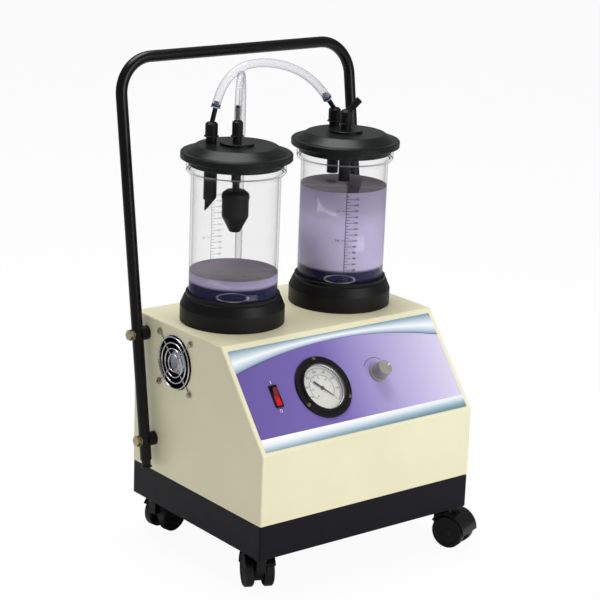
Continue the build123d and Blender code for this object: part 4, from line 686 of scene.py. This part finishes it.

# Fluid. A pale violet liquid that fills the left jar to 70 mm and the right one to 170 mm. Seen
# through the thick wall it looks as wide as the jar. Its navy near the floor is painted shade, for the
# black ring and thick floor seen through it, and its dark top is a painted reflection of the black
# lid.
fluid_levels = {"left": 0.070, "right": 0.170}
shade_height = 0.2
painted_navy_end, lavender_start = 0.056 / shade_height, 0.060 / shade_height


def fluid_finish(name, level):
    """Violet fluid that stands to a level: painted navy shade below, lavender above it, and a dark
    painted reflection on top.
    """
    drawn = Finish(name)
    height = drawn.axes()[2] - cabinet_top
    swirl = drawn.noise(16.0, 3.0)
    # Painted shade: navy up to 56 mm, for the black ring and thick floor seen through the fluid.
    wall = drawn.ramp(
        height / shade_height + swirl * 0.004,
        [
            (0.0, paint(30, 30, 62)),
            (painted_navy_end, paint(40, 40, 82)),
            (lavender_start, paint(196, 188, 222)),
            (1.0, paint(204, 196, 228)),
        ],
    )
    # Painted reflection of the black lid on the fluid's top.
    skin = drawn.ramp(swirl, [(0.35, paint(132, 125, 138)), (0.7, paint(160, 152, 163))])
    clearness = [(painted_navy_end, (0.66,) * 4), (lavender_start, (0.93,) * 4)]
    drawn.set(
        {
            "Base Color": drawn.blend(height.over(level - 0.0001), wall, skin),
            "Alpha": drawn.ramp(height / shade_height, clearness),
            "Roughness": swirl * 0.04 + 0.06,
            "Specular IOR Level": 0.25,
        }
    )
    return drawn.material


def turned_body(outline, centre, steps=96):
    """Solid of revolution about an upright axis, from its outline of radius and height."""
    shape = bmesh.new()
    points = [shape.verts.new((radius, 0, height)) for radius, height in outline]
    for first, second in zip(points, points[1:]):
        shape.edges.new((first, second))
    bmesh.ops.spin(
        shape,
        geom=list(shape.verts) + list(shape.edges),
        cent=(0, 0, 0),
        axis=(0, 0, 1),
        angle=2 * math.pi,
        steps=steps,
        use_merge=True,
    )
    bmesh.ops.remove_doubles(shape, verts=shape.verts, dist=1e-6)
    bmesh.ops.recalc_face_normals(shape, faces=shape.faces)
    bmesh.ops.translate(shape, verts=shape.verts, vec=centre)
    return shape


floor_inside, dimple_top = 0.0149, 0.0179
dimple_edge, dimple_foot = 0.0234, 0.0266
fluid_radius, meniscus = 0.0604, 0.0005
for side, jar_x in jar_centres.items():
    level = fluid_levels[side]
    pool = turned_body(
        [
            (0, dimple_top),
            (dimple_edge, dimple_top),
            (dimple_foot, floor_inside),
            (0.0550, floor_inside),
            (fluid_radius, 0.0190),
            (fluid_radius, level + meniscus),
            (0.0596, level),
            (0, level),
        ],
        Vector((jar_x, jar_y, cabinet_top)),
    )
    finished(pool, f"fluid_{side}", f"{side}_jar", fluid_finish(f"fluid_{side}", level))

# Painted glint of the raised ring in each jar's floor. The real ring is moulded with the jar and
# catches the light. This thin ring stands in for that glint and glows a little in patches. It sits
# higher than the real ring because the fluid lifts it to the eye.
painted_glint = Finish("floor_ring_glint")
painted_glint.mottled(paint(236, 236, 244), paint(196, 196, 212), 90.0)
painted_glow_patches = [(0.4, paint(120, 120, 130)), (0.6, (1, 1, 1, 1))]
painted_glint.set(
    {
        "Roughness": painted_glint.noise(60.0) * 0.1 + 0.3,
        "Emission Color": painted_glint.ramp(painted_glint.noise(50.0), painted_glow_patches),
        "Emission Strength": 0.5,
    }
)
ring_inner, ring_outer = 0.0200, 0.0230
ring_low, ring_high = 0.0300, 0.0306
for side, jar_x in jar_centres.items():
    ring = turned_body(
        [
            (ring_inner, ring_low),
            (ring_outer, ring_low),
            (ring_outer, ring_high),
            (ring_inner, ring_high),
            (ring_inner, ring_low),
        ],
        Vector((jar_x, jar_y, cabinet_top)),
        64,
    )
    finished(ring, f"floor_ring_{side}", f"{side}_jar", painted_glint.material)

# Jar scales. Plain strokes and figures from 100 to 1700 are printed on the outside of each jar,
# every 50 ml, with 1.0 and 1.5 on the other side of the line. The right jar's faces the front,
# and the left jar's is at the back and shows faintly through both walls.
scale_inks = {
    "left": ink_finish("faint_scale_ink", paint(168, 168, 180), paint(178, 178, 190)),
    "right": ink_finish("scale_ink", paint(52, 50, 66), paint(62, 60, 76)),
}
scale_angles = {"left": 85.3, "right": -124.4}
scale_ways = {"left": -1, "right": 1}
jar_skin = 0.06105
scale_foot, scale_length = 0.018, 0.166
half_litre = 0.0421
stroke, print_depth = 0.0005, 0.0001
long_tick, short_tick, litre_tick = 0.009, 0.0045, 0.005
figure_height, figure_reach = 0.0038, 0.0135
litre_height, litre_reach = 0.0048, -0.0115


def on_jar(jar_x, heading, height, turned):
    """Place on a jar's skin, its x running to the right for someone who faces it."""
    angle = math.radians(heading) + turned / jar_skin
    out = Vector((math.cos(angle), math.sin(angle), 0))
    along = Vector((-math.sin(angle), math.cos(angle), 0))
    spot = Vector((jar_x, jar_y, cabinet_top + height)) + out * jar_skin
    return Matrix.Translation(spot) @ Matrix((along, Vector((0, 0, 1)), out)).transposed().to_4x4()


for side, jar_x in jar_centres.items():
    scale = bmesh.new()
    heading, way = scale_angles[side], scale_ways[side]
    for volume in range(0, 1800, 50):
        height = scale_foot + volume / 500 * half_litre
        tick = long_tick if volume % 100 == 0 else short_tick
        add_bar(scale, tick, stroke, print_depth, on_jar(jar_x, heading, height, way * tick / 2))
        if volume % 100 == 0 and volume > 0:
            place = on_jar(jar_x, heading, height, way * figure_reach)
            write(scale, str(volume), figure_height, print_depth, place)
    for halves, words in ((2, "1.0"), (3, "1.5")):
        height = scale_foot + halves * half_litre
        place = on_jar(jar_x, heading, height, way * litre_reach)
        write(scale, words, litre_height, print_depth, place)
        place = on_jar(jar_x, heading, height, way * -0.0035)
        add_bar(scale, litre_tick, stroke, print_depth, place)
    middle = on_jar(jar_x, heading, scale_foot + 0.082, 0)
    add_bar(scale, 0.0006, scale_length, print_depth, middle)
    finished(scale, f"jar_scale_{side}", f"{side}_jar", scale_inks[side], smooth=False)

# Hose collars. A short blue plastic sleeve grips the link hose at each end, where it is pushed
# over the barb, and a paler rim closes the sleeve's end.
collar_blue = Finish("blue_sleeve")
collar_blue.mottled(paint(42, 52, 92), paint(30, 38, 74), 220.0)
collar_blue.set({"Roughness": collar_blue.noise(200.0) * 0.1 + 0.3, "Coat Weight": 0.2})
collar_rim = Finish("pale_blue_rim")
collar_rim.mottled(paint(176, 196, 216), paint(150, 172, 200), 240.0)
collar_rim.set({"Roughness": collar_rim.noise(200.0) * 0.1 + 0.25, "Coat Weight": 0.3})


def sleeve(name, start, onward, inner, outer, low, high, material):
    """Sleeve round a hose, between two distances from its end."""
    way = (Vector(onward) - Vector(start)).normalized()
    turn = Vector((0, 0, 1)).rotation_difference(way).to_matrix().to_4x4()
    ring = turned_body(
        [
            (inner, low),
            (outer - 0.0003, low),
            (outer, low + 0.0003),
            (outer, high - 0.0003),
            (outer - 0.0003, high),
            (inner, high),
            (inner, low),
        ],
        Vector((0, 0, 0)),
        48,
    )
    bmesh.ops.transform(ring, matrix=Matrix.Translation(Vector(start)) @ turn, verts=ring.verts)
    finished(ring, name, "left_lid", material)


sleeve_bore = 0.0045
sleeve_radius, rim_radius = link_radius + 0.00025, link_radius + 0.0009
for end, points in (("start", link_points), ("end", link_points[::-1])):
    first, second = points[:2]
    blue, pale = collar_blue.material, collar_rim.material
    sleeve(f"link_sleeve_{end}", first, second, sleeve_bore, sleeve_radius, 0.0004, 0.0052, blue)
    sleeve(f"link_sleeve_rim_{end}", first, second, sleeve_bore, rim_radius, -0.0005, 0.0009, pale)

# Floor, room and lamps. White paper under the machine and a white room round it. One large soft
# lamp stands in front, a little to the right, and another hangs above and behind.
floor_shape = bmesh.new()
bmesh.ops.create_grid(floor_shape, x_segments=1, y_segments=1, size=6)
floor_mesh = bpy.data.meshes.new("pale_floor")
floor_shape.to_mesh(floor_mesh)
floor_shape.free()
floor = bpy.data.objects.new("pale_floor", floor_mesh)
bpy.context.scene.collection.objects.link(floor)
floor_paper = Finish("white_paper")
floor_paper.set({"Base Color": (0.93, 0.93, 0.93, 1), "Roughness": 0.9, "Specular IOR Level": 0.1})
paper_whiteness = 0.95
seen = floor_paper.node("ShaderNodeLightPath", {}, {}, "Is Camera Ray") * paper_whiteness
glow = floor_paper.node("ShaderNodeEmission", {}, {"Strength": 1.0})
paper = Reading(floor_paper, floor_paper.shader.outputs[0])
mixed = floor_paper.node("ShaderNodeMixShader", {}, {0: seen, 1: paper, 2: glow})
floor_paper.fill(floor_paper.tree.nodes["Material Output"], {0: mixed})
floor_mesh.materials.append(floor_paper.material)

room = bpy.data.worlds.new("white_room")
room.use_nodes = True
bpy.context.scene.world = room
seen_strength, lighting_strength = 1.0, 0.28
room_light = room.node_tree.nodes["Background"]
room_light.inputs["Color"].default_value = (1, 1, 1, 1)
room_rays = room.node_tree.nodes.new("ShaderNodeLightPath")
room_strength = room.node_tree.nodes.new("ShaderNodeMath")
room_strength.operation = "MULTIPLY_ADD"
room_strength.inputs[1].default_value = seen_strength - lighting_strength
room_strength.inputs[2].default_value = lighting_strength
room.node_tree.links.new(room_rays.outputs["Is Camera Ray"], room_strength.inputs[0])
room.node_tree.links.new(room_strength.outputs[0], room_light.inputs["Strength"])


def soft_lamp(name, place, aim, size, power):
    """Square studio lamp that points at the machine."""
    data = bpy.data.lights.new(name, "AREA")
    data.size = size
    data.energy = power
    lamp = bpy.data.objects.new(name, data)
    bpy.context.scene.collection.objects.link(lamp)
    lamp.location = place
    way = Vector(aim) - Vector(place)
    lamp.rotation_euler = way.to_track_quat("-Z", "Y").to_euler()


machine_middle = (0, 0, 0.3)
soft_lamp("key_lamp", (0.5, -2.3, 1.2), machine_middle, 1.3, 30)
soft_lamp("top_lamp", (0.0, 0.5, 2.4), machine_middle, 1.4, 46)
bpy.context.scene.view_settings.view_transform = "Standard"
